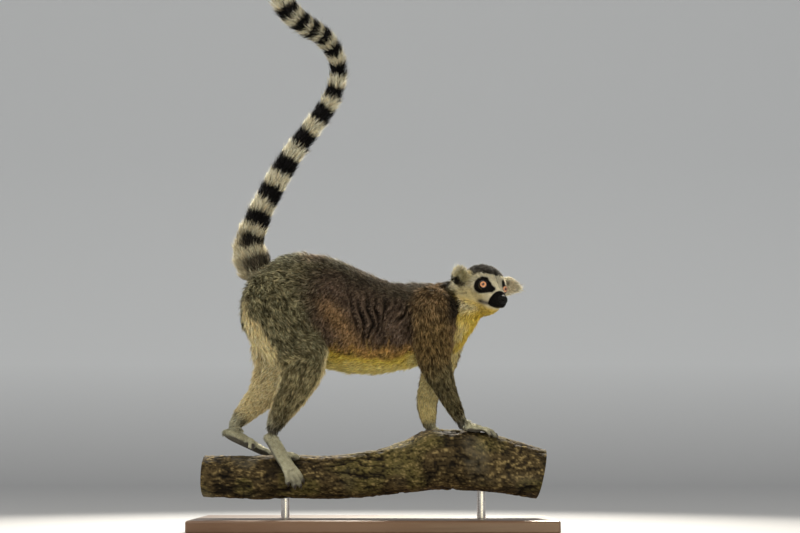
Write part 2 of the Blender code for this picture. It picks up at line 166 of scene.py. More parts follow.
def grain_group():
    """Noise, stretched and scaled: its height bumps the surface and is also given as a mask."""
    group = bpy.data.node_groups.new("fine_grain", "ShaderNodeTree")
    for name, kind, value in (
        ("Stretch", "NodeSocketVector", (1, 1, 1)), ("Scale", "NodeSocketFloat", 500),
        ("Height", "NodeSocketFloat", 0.0003),
    ):
        group.interface.new_socket(name, in_out="INPUT", socket_type=kind).default_value = value
    group.interface.new_socket("Normal", in_out="OUTPUT", socket_type="NodeSocketVector")
    group.interface.new_socket("Mask", in_out="OUTPUT", socket_type="NodeSocketFloat")
    nodes, join = group.nodes, group.links.new
    ask, give = nodes.new("NodeGroupInput"), nodes.new("NodeGroupOutput")
    where, stretch = nodes.new("ShaderNodeTexCoord"), nodes.new("ShaderNodeVectorMath")
    grain, bump = nodes.new("ShaderNodeTexNoise"), nodes.new("ShaderNodeBump")
    stretch.operation = "MULTIPLY"
    join(where.outputs["Object"], stretch.inputs[0])
    join(ask.outputs["Stretch"], stretch.inputs[1])
    join(stretch.outputs["Vector"], grain.inputs["Vector"])
    join(ask.outputs["Scale"], grain.inputs["Scale"])
    join(grain.outputs["Fac"], bump.inputs["Height"])
    join(ask.outputs["Height"], bump.inputs["Distance"])
    join(bump.outputs["Normal"], give.inputs["Normal"])
    join(grain.outputs["Fac"], give.inputs["Mask"])
    return group


GRAIN = grain_group()


def mapped(tree, source, socket, low, high, span=(0.3, 0.7)):
    """Sends a noise to a socket: over its span it runs from low to high."""
    level = tree.nodes.new("ShaderNodeMapRange")
    level.inputs["From Min"].default_value, level.inputs["From Max"].default_value = span
    level.inputs["To Min"].default_value, level.inputs["To Max"].default_value = low, high
    tree.links.new(source, level.inputs["Value"])
    tree.links.new(level.outputs["Result"], socket)


def grained(tree, shader, scale, height, stretch=(1, 1, 1), rough=None):
    """Places the grain in a material: its normal goes to the shader, and where rough gives two values
    its mask moves the roughness between them."""
    node = tree.nodes.new("ShaderNodeGroup")
    node.node_tree = GRAIN
    node.inputs["Scale"].default_value, node.inputs["Height"].default_value = scale, height
    node.inputs["Stretch"].default_value = stretch
    tree.links.new(node.outputs["Normal"], shader.inputs["Normal"])
    if rough:
        mapped(tree, node.outputs["Mask"], shader.inputs["Roughness"], *rough)


def reads_coat(tree, shader):
    """Feeds the coat attribute into the base colour."""
    coat = tree.nodes.new("ShaderNodeAttribute")
    coat.attribute_name = "coat"
    tree.links.new(coat.outputs["Color"], shader.inputs["Base Color"])


def colour_attribute(mesh, colours):
    """Stores a colour for every point of the mesh."""
    layer = mesh.color_attributes.new("coat", "FLOAT_COLOR", "POINT")
    filled = np.column_stack([colours, np.ones(len(colours))]).astype(np.float32)
    layer.data.foreach_set("color", filled.ravel())


def ramp(tree, stops):
    """A colour ramp with these places and colours."""
    made = tree.nodes.new("ShaderNodeValToRGB")
    for k, (place, colour) in enumerate(stops):
        stop = made.color_ramp.elements[k] if k < 2 else made.color_ramp.elements.new(place)
        stop.position, stop.color = place, (*colour, 1)
    return made


# %% Floor and lamps
def make_sweep(front, bend_start, bend_radius, height, half_width):
    """A floor that turns up into a wall: a straight line, a quarter circle and a straight line, drawn
    out sideways."""
    turn = np.linspace(0, math.pi / 2, 25)
    y = np.concatenate([[front], bend_start + bend_radius * np.sin(turn), [bend_start + bend_radius]])
    z = np.concatenate([[0.0], bend_radius * (1 - np.cos(turn)), [height]])
    x = np.array([-half_width, half_width])
    points = np.stack(np.broadcast_arrays(x[None, :], y[:, None], z[:, None]), axis=-1)
    return new_mesh("studio_sweep", points.reshape(-1, 3), grid_faces(len(y), 2))


def lamp(name, place, size, power, colour, target=(0, 0, 0.33), spread=180):
    """A square area lamp aimed at the animal; spread narrows its cone, in degrees."""
    made = link(bpy.data.objects.new(name, bpy.data.lights.new(name, "AREA")))
    made.data.size, made.data.energy, made.data.color = size, power, colour
    made.data.spread = math.radians(spread)
    made.location = place
    aim(made, target)


sweep = make_sweep(front=-12.0, bend_start=4.6, bend_radius=1.8, height=9.0, half_width=16.0)
sweep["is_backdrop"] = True
PAPER, paper_tree, paper_shader = principled("backdrop_paper", 0.95, Specular_IOR_Level=0.0)
grained(paper_tree, paper_shader, 900, 0.0001, rough=(0.92, 0.98))
where, height = paper_tree.nodes.new("ShaderNodeTexCoord"), paper_tree.nodes.new("ShaderNodeSeparateXYZ")
paper_tones = ramp(paper_tree, ((0.0, (0.52, 0.53, 0.55)), (0.6, (0.86, 0.89, 0.93))))
paper_tree.links.new(where.outputs["Object"], height.inputs["Vector"])
paper_tree.links.new(height.outputs["Z"], paper_tones.inputs["Fac"])
paper_tree.links.new(paper_tones.outputs["Color"], paper_shader.inputs["Base Color"])
sweep.data.materials.append(PAPER)
lamp("key_lamp", (-1.5, -2.3, 2.3), 0.9, 36, (1.0, 0.94, 0.82))
lamp("fill_lamp", (1.9, -2.4, 0.9), 1.6, 8, (0.95, 0.97, 1.0))
lamp("low_lamp", (0.4, -1.2, 0.06), 0.8, 3.5, (1.0, 0.88, 0.55), target=(0.02, 0, 0.26), spread=110)
lamp("rim_lamp", (0.35, 2.1, 2.0), 0.30, 16, (1.0, 0.92, 0.78), spread=44)
lamp("back_lamp", (-1.2, 1.3, 1.3), 0.6, 3.6, (1.0, 0.95, 0.86), spread=50)
world = bpy.data.worlds.new("studio")
world.use_nodes = True
sky = world.node_tree.nodes["Background"].inputs
sky["Color"].default_value, sky["Strength"].default_value = (1.0, 0.98, 0.93, 1), 0.50
bpy.context.scene.world = world
bpy.context.scene.view_settings.view_transform = "Standard"


# %% [markdown]
# ## Reading the solids
#
# Small tools read the solids. The first gives the triangles of a node. The second scatters places over
# triangles: a triangle is picked as often as its area asks, and a point inside it is picked with two
# random numbers. The third finds the line along the middle of a limb: it cuts the solid into slices and
# takes the middle of each. Hair follows such lines, from the head to the rump and down every limb.

# %% Triangles and scattered places
def read(mesh):
    """Points (count, 3) and triangle corners (count, 3) of a mesh."""
    mesh.calc_loop_triangles()
    points = np.empty(len(mesh.vertices) * 3, np.float32)
    mesh.vertices.foreach_get("co", points)
    corners = np.empty(len(mesh.loop_triangles) * 3, np.int32)
    mesh.loop_triangles.foreach_get("vertices", corners)
    return points.reshape(-1, 3).astype(float), corners.reshape(-1, 3)


def scatter(points, corners, count, rng, weight=1.0):
    """Places on the triangles, as many as asked: chance = area times weight. Returns the triangle of
    each place and its three corner shares, so that any value of the corners can be blended there."""
    a, b, c = (points[corners[:, k]] for k in range(3))
    chance = np.cumsum(lengths(np.cross(b - a, c - a)) * weight)
    picked = np.searchsorted(chance / chance[-1], (np.arange(count) + rng.random(count)) / count)
    u, v = rng.random((2, count))
    over = u + v > 1
    u, v = np.where(over, 1 - u, u), np.where(over, 1 - v, v)
    return np.minimum(picked, len(corners) - 1), np.stack([1 - u - v, u, v], axis=1)


def unit(vectors):
    """Vectors at length one."""
    return vectors / np.maximum(np.linalg.norm(vectors, axis=-1, keepdims=True), 1e-12)


def lengths(vectors):
    """Length of each vector in a list."""
    return np.linalg.norm(vectors, axis=1)


# %% Middle lines
STEPS = 240  # places along a middle line
BATCH = 40000  # points measured at a time, to spare memory


def spline(rows, shares):
    """The smooth curve through the rows: between two rows each value is the cubic whose slope at a row
    is half the difference of that row's neighbours."""
    ends = np.vstack([2 * rows[0] - rows[1], rows, 2 * rows[-1] - rows[-2]])
    place = np.clip(shares, 0, 1) * (len(rows) - 1)
    first = np.minimum(place.astype(int), len(rows) - 2)
    t = (place - first)[:, None]
    a, b, c, d = (ends[first + k] for k in range(4))
    curve = 2 * b + (c - a) * t + (2 * a - 5 * b + 4 * c - d) * t**2
    return 0.5 * (curve + (3 * b - a - 3 * c + d) * t**3)


def line_through(rows):
    """A middle line with even steps through rows of X, Y, Z and radius."""
    line = spline(np.array(rows), np.linspace(0, 1, STEPS))
    steps = lengths(np.diff(line[:, :3], axis=0))
    way = unit(np.gradient(line[:, :3], axis=0))
    return {"at": line[:, :3], "radius": line[:, 3], "way": way, "length": np.append(0, np.cumsum(steps))}


def middle_line(names, start, slices=7):
    """The line through the middle of each node in turn, from the end that is nearer to the start.

    A node is cut into slices across its longest direction; the middle of a slice is half way between
    its lowest and highest corner, and the radius is the middle value of the distances from there.
    """
    rng, rows = np.random.default_rng(7), []
    for name in names:
        points, corners = read(NODES[name].data)
        picked, shares = scatter(points, corners, 5000, rng)
        cloud = (points[corners[picked]] * shares[:, :, None]).sum(1)
        centre = cloud.mean(0)
        way = np.linalg.svd(cloud - centre, full_matrices=False)[2][0]
        along = (cloud - centre) @ way
        ends = [centre + way * along.min(), centre + way * along.max()]
        if np.linalg.norm(ends[1] - start) < np.linalg.norm(ends[0] - start):
            way, along, ends = -way, -along, ends[::-1]
        edges = np.linspace(along.min(), along.max(), slices + 1)
        for low, high in zip(edges[:-1], edges[1:]):
            cut = cloud[(along >= low) & (along <= high)]
            middle = (cut.min(0) + cut.max(0)) / 2
            away = cut - middle
            away -= (away @ way)[:, None] * way
            rows.append([*middle, np.median(lengths(away))])
        start = ends[1]
    rows = np.array(rows)
    return line_through([1.5 * rows[0] - 0.5 * rows[1], *rows, 1.5 * rows[-1] - 0.5 * rows[-2]])


def foot_of(line, points):
    """For each point: its nearest place on the line, the distance and the distance over the radius.

    The squared distance is |p|^2 - 2 p.l + |l|^2. Its first term is the same for the whole line, so the
    nearest place needs only the other two."""
    near = np.empty(len(points), int)
    places = line["at"]
    for part in np.array_split(np.arange(len(points)), max(1, len(points) // BATCH)):
        near[part] = ((places**2).sum(1) - 2 * points[part] @ places.T).argmin(1)
    gap = lengths(points - places[near])
    return near, gap / line["radius"][near]


HIPS, BREAST = np.array((-0.15, 0, 0.33)), np.array((0.13, 0, 0.33))
ABOVE = (0, 0, 0.3)
LINES = {
    "trunk": middle_line(["trunk"], BREAST),
    "tail": middle_line(["tail_1", "tail_2", "tail_3", "tail_4"], HIPS),
    "arm_right": middle_line(["upper_arm_right", "forearm_right", "hand_right"], BREAST + ABOVE),
    "arm_left": middle_line(["upper_arm_left", "forearm_left", "hand_left"], BREAST + ABOVE),
    "leg_right": middle_line(["thigh_right", "shank_right", "foot_right"], HIPS + ABOVE),
    "leg_left": middle_line(["thigh_left", "shank_left", "foot_left"], HIPS + ABOVE),
}

# %% [markdown]
# ## The head's own directions
#
# The head is turned and tilted. Its eyes and nose give its frame: one axis runs from the right eye to the
# left one, one to the nose, and the third up. Face, ears and lids are then worked out as if the head
# looked straight ahead, and put in place at the end. The neck's line joins the trunk's to the head.

# %% The head's frame
def middle_of(name):
    """The middle of a node's box."""
    low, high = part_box(name)
    return np.array((low + high) / 2)


EYE_AT = np.array((0.0203, 0.0162, 0.0050))  # left eye in the head's frame


def eye_at(side):
    """The middle of an eye in the head's frame."""
    return EYE_AT * (1, side, 1)


NOSE_DROP = math.atan2(0.0062, 0.0322)  # how far the nose lies under the line of sight
eyes_middle = (middle_of("eye_left") + middle_of("eye_right")) / 2
HEAD_Y = unit(middle_of("eye_left") - middle_of("eye_right"))
to_nose = middle_of("nose") - eyes_middle
to_nose = unit(to_nose - (to_nose @ HEAD_Y) * HEAD_Y)
nose_up = np.cross(to_nose, HEAD_Y)
HEAD_X = math.cos(NOSE_DROP) * to_nose + math.sin(NOSE_DROP) * nose_up
HEAD_Z = np.cross(HEAD_X, HEAD_Y)
HEAD_AXES = np.stack([HEAD_X, HEAD_Y, HEAD_Z])
HEAD_AT = eyes_middle - EYE_AT[0] * HEAD_X - EYE_AT[2] * HEAD_Z


def to_head(points):
    """Points of the room in the head's frame."""
    return (points - HEAD_AT) @ HEAD_AXES.T


def from_head(points):
    """Points of the head's frame in the room."""
    return points @ HEAD_AXES + HEAD_AT


neck_start = LINES["trunk"]["at"][STEPS // 10]
neck_end = HEAD_AT * 0.7 + neck_start * 0.3
LINES["neck"] = line_through([[*neck_start, 0.052], [*neck_end, 0.040]])
for name, line in LINES.items():
    print(name, "runs %.3f from" % line["length"][-1], line["at"][0].round(3), "to", line["at"][-1].round(3))
print("head at", HEAD_AT.round(4), "looks along", HEAD_X.round(3))


# %% [markdown]
# ## Noise
#
# Nothing on an animal is even. Value noise gives slow, smooth changes: random numbers on a lattice, blended
# with an ease curve. The lattice comes from a seed, so that every run gives the same animal.

# %% Noise from a lattice
def noise(points, cell, seed):
    """Smooth noise from -1 to 1. Each point blends the random values of the eight corners of its cell by
    the ease curve 3t^2 - 2t^3 along each axis."""
    table = np.random.default_rng(seed).uniform(-1, 1, (32, 32, 32))
    place = points / cell
    low = np.floor(place).astype(int)
    ease = place - low
    ease = ease * ease * (3 - 2 * ease)
    total = np.zeros(len(points))
    for corner in product((0, 1), repeat=3):
        spot = (low + corner) % 32
        share = np.where(corner, ease, 1 - ease).prod(1)
        total += share * table[spot[:, 0], spot[:, 1], spot[:, 2]]
    return total


def rise(low, high, value):
    """Zero under low, one over high, eased between."""
    t = np.clip((value - low) / (high - low), 0, 1)
    return t * t * (3 - 2 * t)


def bell(value, width):
    """One at zero, falling to nothing over a few widths: exp(-(value / width)^2)."""
    return np.exp(-((value / width) ** 2))


def wool(points):
    """The coat's small clumps, about -1 to 1: a coarse noise drawn out upwards and a finer one."""
    drawn = points * (1.0, 1.0, 0.8)
    return 0.30 * noise(drawn, 0.0055, 71) + 0.90 * noise(drawn, 0.0025, 72)


# %% [markdown]
# ## Whose coat is it?
#
# Length, colour and lie of the hair change from part to part, but never with a step. For each place the
# distance to every middle line is divided by the limb's radius there, and a soft choice turns these
# numbers into shares that add up to one. A value of the coat is then a blend by those shares.

# %% Ears in the head's frame
PARTS = [*LINES, "head", "ear_left", "ear_right"]
LIMBS = [PARTS.index(limb + word) for limb in ("arm_", "leg_") for _, word in SIDES]
EARS = {side: to_head(middle_of("ear_" + word)[None])[0] for side, word in SIDES}


def ear_axes(side, word):
    """Rows: out of the ear's hollow, across it, and along it away from the head."""
    points, corners = read(NODES["ear_" + word].data)
    cloud = to_head(points[corners].reshape(-1, 3))
    long = np.linalg.svd(cloud - cloud.mean(0), full_matrices=False)[2][0]
    long = long * np.sign(long @ cloud.mean(0))
    front = unit(np.array((1.0, 0, 0)) - long * long[0])
    return np.stack([front, np.cross(long, front) * side, long])


EAR_AXES = {side: ear_axes(side, word) for side, word in SIDES}


def to_ear(local, side):
    """Points of the head's frame along the three axes of an ear, from its middle."""
    return (local - EARS[side]) @ EAR_AXES[side].T


print("ears point along", {word: EAR_AXES[side][2].round(2) for side, word in SIDES})


# %% Shares of the parts
def head_reach(points):
    """Distance from skull and muzzle, each an oval, over their size; one on their surface."""
    skull = lengths((points - (0.004, 0, -0.003)) / (0.036, 0.033, 0.033))
    muzzle = lengths((points - (0.034, 0, -0.008)) / (0.027, 0.015, 0.019))
    return np.minimum(skull, muzzle)


def survey(points):
    """Shares of every part at the points, and where each part's line passes nearest."""
    feet = {name: foot_of(line, points) for name, line in LINES.items()}
    local = to_head(points)
    on_face = np.maximum(rise(-0.016, 0.004, local[:, 0]), rise(0.0, 0.014, local[:, 2]))
    feet["neck"] = (feet["neck"][0], feet["neck"][1] + 1.2 * on_face * rise(-0.044, -0.031, local[:, 2]))
    reach = [feet[name][1] for name in LINES] + [head_reach(local)]
    for side in (LEFT, RIGHT):
        beyond = to_ear(local, side)
        reach.append(lengths(beyond / (0.013, 0.014, 0.022)) + 0.12)
    reach = np.stack(reach, axis=1)
    share = np.exp(-8 * (reach - reach.min(1, keepdims=True)))
    share /= share.sum(1, keepdims=True)
    spots = {name: feet[name][0] / (STEPS - 1) for name in LINES}
    return {"share": share, "part": reach.argmin(1), "spot": spots, "head": local}


def share_of(place, name):
    """How much each place belongs to a part."""
    return place["share"][:, PARTS.index(name)]


def steps_at(spot):
    """Numbers of the steps of a middle line at these shares of its length."""
    return (spot * (STEPS - 1)).astype(int)


def blend(place, values):
    """Blends one value for each part, a number or an array over the points, by the shares."""
    return sum(place["share"][:, k] * values[name] for k, name in enumerate(PARTS))


WRIST = 0.655  # share of a limb's line at which wrist or ankle lies
STATIONS = (0.0, 0.33, 0.57, WRIST, 0.70)  # top, joint, above the wrist, wrist, paw


def limb_values(place, trunk, tail, arm, leg, neck, head, ear):
    """Values for every part; arm and leg are rows of five, one for each station of the limb."""
    made = {"trunk": trunk, "tail": tail, "neck": neck, "head": head, "ear_left": ear, "ear_right": ear}
    for side in ("right", "left"):
        made["arm_" + side] = np.interp(place["spot"]["arm_" + side], STATIONS, arm)
        made["leg_" + side] = np.interp(place["spot"]["leg_" + side], STATIONS, leg)
    return made


# %% [markdown]
# ## One skin
#
# The skin is a single surface. The solids are gathered into one shape and a voxel remesh melts them
# together, which no join of separate tubes can do. Then the surface is eased, and drawn inwards by the
# depth of the coat, so that the hair has room up to the outline of the solids. The broad parts need fewer
# faces than the face and the paws, so their faces are thinned at the end, and only the largest shell of
# what is left is kept.

# %% Gather the flesh and remesh it
VOXEL = 0.0016
FLESH = [name for name in NODES if not name.startswith(("stand_", "perch_", "eye_", "nose"))]
EYE_RADIUS = float((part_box("eye_left")[1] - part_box("eye_left")[0]).x) / 2
LID_RADIUS = EYE_RADIUS + 0.0011  # the lid is a shell just over the eyeball


def ball(centre, radius, rows=24, columns=32):
    """Points and faces of a sphere: rings at even angles from its top down."""
    ways = ways_round(rows, columns)[..., (1, 2, 0)]
    return centre + radius * ways.reshape(-1, 3), grid_faces(rows, columns, True)


def evaluated(thing):
    """The mesh of an object with its modifiers applied; the object is removed."""
    made = bpy.data.meshes.new_from_object(thing.evaluated_get(bpy.context.evaluated_depsgraph_get()))
    bpy.data.objects.remove(thing)
    return made


def remeshed(name, shapes, voxel):
    """One closed surface over all the shapes."""
    points, faces, start = [], [], 0
    for some, those in shapes:
        points.append(some)
        faces += [[start + k for k in face] for face in those]
        start += len(some)
    rough = new_mesh(name, np.vstack(points), faces)
    modifier = rough.modifiers.new("melt", "REMESH")
    modifier.mode, modifier.voxel_size = "VOXEL", voxel
    return evaluated(rough)


shapes = []
for name in FLESH + ["nose", "eye_left", "eye_right"]:
    points, corners = read(NODES[name].data)
    shapes.append((points, corners.tolist()))
for side in (LEFT, RIGHT):
    shapes.append(ball(from_head(eye_at(side)), LID_RADIUS))
skin_mesh = remeshed("skin", shapes, VOXEL)
print("melted skin:", len(skin_mesh.vertices), "points")


# %% Ease, thin and divide
def weighted(mesh, weights):
    """An object that holds the mesh, with a vertex group of these weights in eight steps."""
    holder = link(bpy.data.objects.new("held", mesh))
    group = holder.vertex_groups.new(name="chosen")
    level = np.round(weights * 8)
    for step in range(1, 9):
        group.add(np.flatnonzero(level == step).tolist(), step / 8, "REPLACE")
    return holder


def eased(mesh, rounds, weights):
    """Moves each point towards the mean of its neighbours, again and again."""
    holder = weighted(mesh, weights)
    modifier = holder.modifiers.new("ease", "SMOOTH")
    modifier.factor, modifier.iterations, modifier.vertex_group = 0.5, rounds, "chosen"
    return evaluated(holder)


def thinned(mesh, share, weights):
    """Keeps this share of the faces, taking them away where the weight is high."""
    holder = weighted(mesh, weights)
    modifier = holder.modifiers.new("thin", "DECIMATE")
    modifier.ratio, modifier.vertex_group, modifier.vertex_group_factor = share, "chosen", 4.0
    return evaluated(holder)


def main_shell(mesh):
    """Keeps the largest closed piece, found by stepping over edges that just two faces share. A remesh
    can leave a bubble of a few faces where solids overlap."""
    with edited(mesh) as shape:
        bmesh.ops.remove_doubles(shape, verts=shape.verts, dist=1e-5)
        unseen, largest = set(shape.faces), set()
        while unseen:
            piece, front = set(), [unseen.pop()]
            while front:
                face = front.pop()
                piece.add(face)
                shared = [edge for edge in face.edges if len(edge.link_faces) == 2]
                beside = {other for edge in shared for other in edge.link_faces}
                front += beside & unseen
                unseen -= beside
            largest = max(largest, piece, key=len)
        others = [face for face in shape.faces if face not in largest]
        bmesh.ops.delete(shape, geom=others, context="FACES")
    return mesh


def finer(mesh, chosen):
    """Divides every chosen face into four."""
    with edited(mesh) as shape:
        inside = [face for face in shape.faces if all(chosen[corner.index] for corner in face.verts)]
        picked = {edge for face in inside for edge in face.edges}
        bmesh.ops.subdivide_edges(shape, edges=list(picked), cuts=1, use_grid_fill=True, smooth=0.6)


def put(mesh, points):
    """Writes points into a mesh and returns its normals."""
    mesh.vertices.foreach_set("co", points.astype(np.float32).ravel())
    mesh.update()
    normals = np.empty(len(points) * 3, np.float32)
    mesh.vertex_normals.foreach_get("vector", normals)
    return normals.reshape(-1, 3).astype(float)


# %% Draw the skin in by the depth of the coat
def coat_depth(place):
    """How far the skin lies under the tips of the coat."""
    local = place["head"]
    face = 0.0024 - 0.0019 * np.maximum(rise(0.018, 0.034, local[:, 0]), rise(-0.012, -0.024, local[:, 2]))
    return blend(place, limb_values(
        place, trunk=0.0056, tail=0.0074, neck=0.0052, head=face, ear=0.0007,
        arm=(0.0050, 0.0042, 0.0036, 0.0042, 0.0002), leg=(0.0056, 0.0048, 0.0046, 0.0060, 0.0002),
    ))


def breadth(place):
    """How broad the form is: one on the trunk, near zero on paws, ears and face."""
    return blend(place, limb_values(
        place, trunk=1.0, tail=0.5, neck=1.0, head=0.2, ear=0.12, arm=(1, 0.7, 0.6, 0.4, 0),
        leg=(1, 0.8, 0.6, 0.5, 0),
    ))


def wrists(place):
    """One round the wrists and ankles, where the sleeve of long hair ends."""
    total = np.zeros(len(place["part"]))
    for limb in ("arm_left", "arm_right", "leg_left", "leg_right"):
        total += bell(place["spot"][limb] - WRIST, 0.045) * share_of(place, limb)
    return total


points, _ = read(skin_mesh)
place = survey(points)
broad = breadth(place)
depth = coat_depth(place)
skin_mesh = eased(skin_mesh, 45, np.maximum(broad, wrists(place)))
STAGES = 3
for _ in range(STAGES):
    points, _ = read(skin_mesh)
    normals = put(skin_mesh, points)
    put(skin_mesh, points - normals * (depth / STAGES)[:, None])
    skin_mesh = eased(skin_mesh, 5, broad)
print("skin drawn in by %.1f to %.1f mm" % (depth.min() * 1000, depth.max() * 1000))

# %% [markdown]
# ## Folds of the flank
#
# Between ribs and thigh the loose skin hangs in folds. They fan out from a place under the belly, so the
# distance from one to the next is a step of the angle seen from there. The folds are pressed into the skin
# before the hair grows from it, and their valleys are painted darker, a painted shade.

# %% Folds
FAN_AT = (0.002, 0.170)  # X and Z of the place the folds fan out from
FAN_STEP = 0.074  # angle from fold to fold
FOLD_DEPTH, CLUMP_DEPTH, HOCK_DEPTH = 0.0055, 0.0006, 0.0065
TAIL_DIP, TAIL_DIP_DEPTH = (-0.154, 0, 0.374), 0.0075  # the dip between rump and tail
HAM_DIP, HAM_DIP_DEPTH = (-0.171, 0.034, 0.228), 0.010  # the hollow behind the far thigh
DIP_WIDTH = 0.024


def folds(points, normals):
    """How deep in a fold each point lies, zero to one: ((1 + cos of the angle over the step) / 2)^1.3,
    inside a soft-edged window on each flank, and weaker where a slow noise says so."""
    x, z = points[:, 0] - FAN_AT[0], points[:, 2] - FAN_AT[1]
    angle = np.arctan2(x, z) + 0.058 * noise(points, 0.026, 61) + 0.022 * noise(points, 0.009, 62)
    valley = (0.5 + 0.5 * np.cos(angle * 2 * math.pi / FAN_STEP)) ** 1.3
    start = 0.5 * (0.325 - points[:, 2]) - 0.052
    window = rise(-0.014, 0.012, points[:, 0] - start) * rise(0.066, 0.046, points[:, 0])
    window = window * rise(0.236, 0.262, points[:, 2]) * rise(0.338, 0.306, points[:, 2])
    patchy = rise(-0.5, 0.25, noise(points, 0.020, 63))
    return valley * window * patchy * rise(0.35, 0.65, np.abs(normals[:, 1]))


points, _ = read(skin_mesh)
normals = put(skin_mesh, points)
place = survey(points)
on_trunk = share_of(place, "trunk")
pressed = FOLD_DEPTH * folds(points, normals) * on_trunk - CLUMP_DEPTH * wool(points) * broad
rear = rise(0.1, 0.7, -normals[:, 0])
for limb in ("leg_left", "leg_right"):
    hock = bell(place["spot"][limb] - 0.33, 0.11) * share_of(place, limb)
    pressed = pressed - HOCK_DEPTH * hock * rear
pressed = pressed - TAIL_DIP_DEPTH * bell(lengths(points - TAIL_DIP), DIP_WIDTH)
points = points - normals * pressed[:, None]
hollow = bell(lengths(points - HAM_DIP), DIP_WIDTH) * rear
points[:, 0] -= HAM_DIP_DEPTH * hollow * share_of(place, "leg_left")
put(skin_mesh, points)
skin_mesh = main_shell(thinned(skin_mesh, 0.40, np.clip(broad * 1.6, 0, 1)))
points, _ = read(skin_mesh)
print("thinned skin:", len(points), "points")


# %% [markdown]
# ## The face
#
# A face is made of small things: a brow, lids that close tight on the eyeball, a mouth line, pads for the
# whiskers. They are too small for the solids, so the skin round the face is divided once more and then
# pushed and pulled by smooth functions of the place in the head's frame. The lid is a shell a millimetre
# over the eyeball. Inside the opening it sinks behind the eyeball, so its edge hugs the eye all round.

# %% Finer skin on the face
local = to_head(points)
front = (local[:, 0] > 0.004) & (local[:, 0] < 0.07) & (np.abs(local[:, 1]) < 0.032)
front &= (local[:, 2] > -0.030) & (local[:, 2] < 0.026) & (head_reach(local) < 1.25)
finer(skin_mesh, front)
points, _ = read(skin_mesh)
local = to_head(points)
print("skin with a finer face:", len(points), "points")

# %% Lids, brow, cheeks and mouth
EYE_TURN, EYE_LIFT = math.radians(24), math.radians(22)  # the eyes look a little outwards and up
GLANCE = math.radians(17)  # both look to the right side
OPENING = np.array((0.0055, 0.0048))  # half width and half height of the eye's opening
LID_SINK, LID_RIM, BROW = 0.0022, 0.00045, 0.0010  # under and over the eyeball, and over the lid
CHEEK_SWELL, PAD_SWELL, LIP_SWELL, MOUTH_GROOVE = 0.0030, 0.0011, 0.0006, 0.0013
THROAT_DROP, BRIDGE_DIP = 0.0050, 0.0008
MOUTH_LEVEL = (  # distance ahead, and the level of the mouth line there
    (0.010, 0.016, 0.022, 0.030, 0.042, 0.060), (-0.0255, -0.0245, -0.0205, -0.0180, -0.0155, -0.0145),
)


def gaze(side):
    """Unit direction in which an eye looks, in the head's frame."""
    flat, turn = math.cos(EYE_LIFT), side * EYE_TURN - GLANCE
    return np.array((math.cos(turn) * flat, math.sin(turn) * flat, math.sin(EYE_LIFT)))


def eye_frame(side):
    """Three axes of an eye: out along the gaze, towards the temple, and up."""
    out = gaze(side)
    temple = unit(np.cross(out, (0, 0, 1.0))) * -side
    up = np.cross(out, temple) * side
    return np.stack([out, temple, up])


def eye_oval(local, side):
    """For points round an eye: distance over the size of its opening, one on the lid's edge, and how
    much each point faces along the gaze."""
    out, temple, up = eye_frame(side)
    direction = unit(local - eye_at(side))
    across, high = direction @ temple, direction @ up
    size = OPENING / EYE_RADIUS
    return np.hypot(across / size[0], (high - 0.10 * across) / size[1]), direction @ out, across, high


def sculpt_face(local):
    """The head's points with the small forms of the face added.

    The mouth line is a groove that runs back from under the nose and turns down at its corner, with a lip
    over it. The whisker pads and the cheeks swell. Each lid is a sphere just over the eyeball; inside the
    oval opening its radius drops under the eyeball's.
    """
    x, y, z = local.T
    moved = local.copy()
    outward = unit(np.stack([0.25 * (x - 0.030), y, z + 0.008], axis=1))
    level = np.interp(x, *MOUTH_LEVEL)
    in_mouth = rise(0.015, 0.020, x) * rise(0.0605, 0.056, x)
    swell = CHEEK_SWELL * bell(z + 0.020, 0.010) * rise(0.000, 0.012, x) * rise(0.044, 0.034, x)
    pad = bell(z + 0.0085, 0.0050) * bell(x - 0.0445, 0.007) * rise(0.003, 0.008, np.abs(y))
    swell = swell + PAD_SWELL * pad
    swell = swell + LIP_SWELL * bell(z - level - 0.0026, 0.0022) * in_mouth
    swell = swell - MOUTH_GROOVE * bell(z - level, 0.0009) * in_mouth
    moved += outward * swell[:, None]
    moved[:, 2] -= THROAT_DROP * bell(x - 0.010, 0.014) * rise(-0.016, -0.030, z)
    moved[:, 0] -= BRIDGE_DIP * bell(np.hypot(y, z - 0.011), 0.006) * rise(0.024, 0.030, x)
    for side in (LEFT, RIGHT):
        eye = eye_at(side)
        away = moved - eye
        distance = lengths(away)
        oval, facing, across, high = eye_oval(moved, side)
        inside = (1 - rise(0.94, 1.10, oval)) * (facing > 0)
        rim = bell(oval - 1.20, 0.16) * (facing > 0)
        near = 1 - rise(0.0015, 0.0040, distance - LID_RADIUS)
        brow = bell(np.hypot(across, high - 0.95), 0.40) * (facing > -0.2) * near
        radius = distance + near * (LID_RIM * rim + BROW * brow)
        radius = radius + inside * near * (EYE_RADIUS - LID_SINK - radius)
        moved = eye + away / distance[:, None] * radius[:, None]
    return moved


EAR_TAPER = {LEFT: 0.36, RIGHT: 0.04}


def narrow_ears(local, place):
    """Ears taper towards their tips: the offset across an ear shrinks with the distance along it."""
    for side, word in SIDES:
        mine = share_of(place, "ear_" + word)
        beyond = to_ear(local, side)
        squeeze = mine * rise(-0.002, 0.018, beyond[:, 2]) * EAR_TAPER[side]
        local = local - np.outer(beyond[:, 1] * squeeze, EAR_AXES[side][1])
    return local


near_head = head_reach(local) < 1.6
local[near_head] = sculpt_face(local[near_head])
local = narrow_ears(local, survey(points))
points = from_head(local)
normals = put(skin_mesh, points)
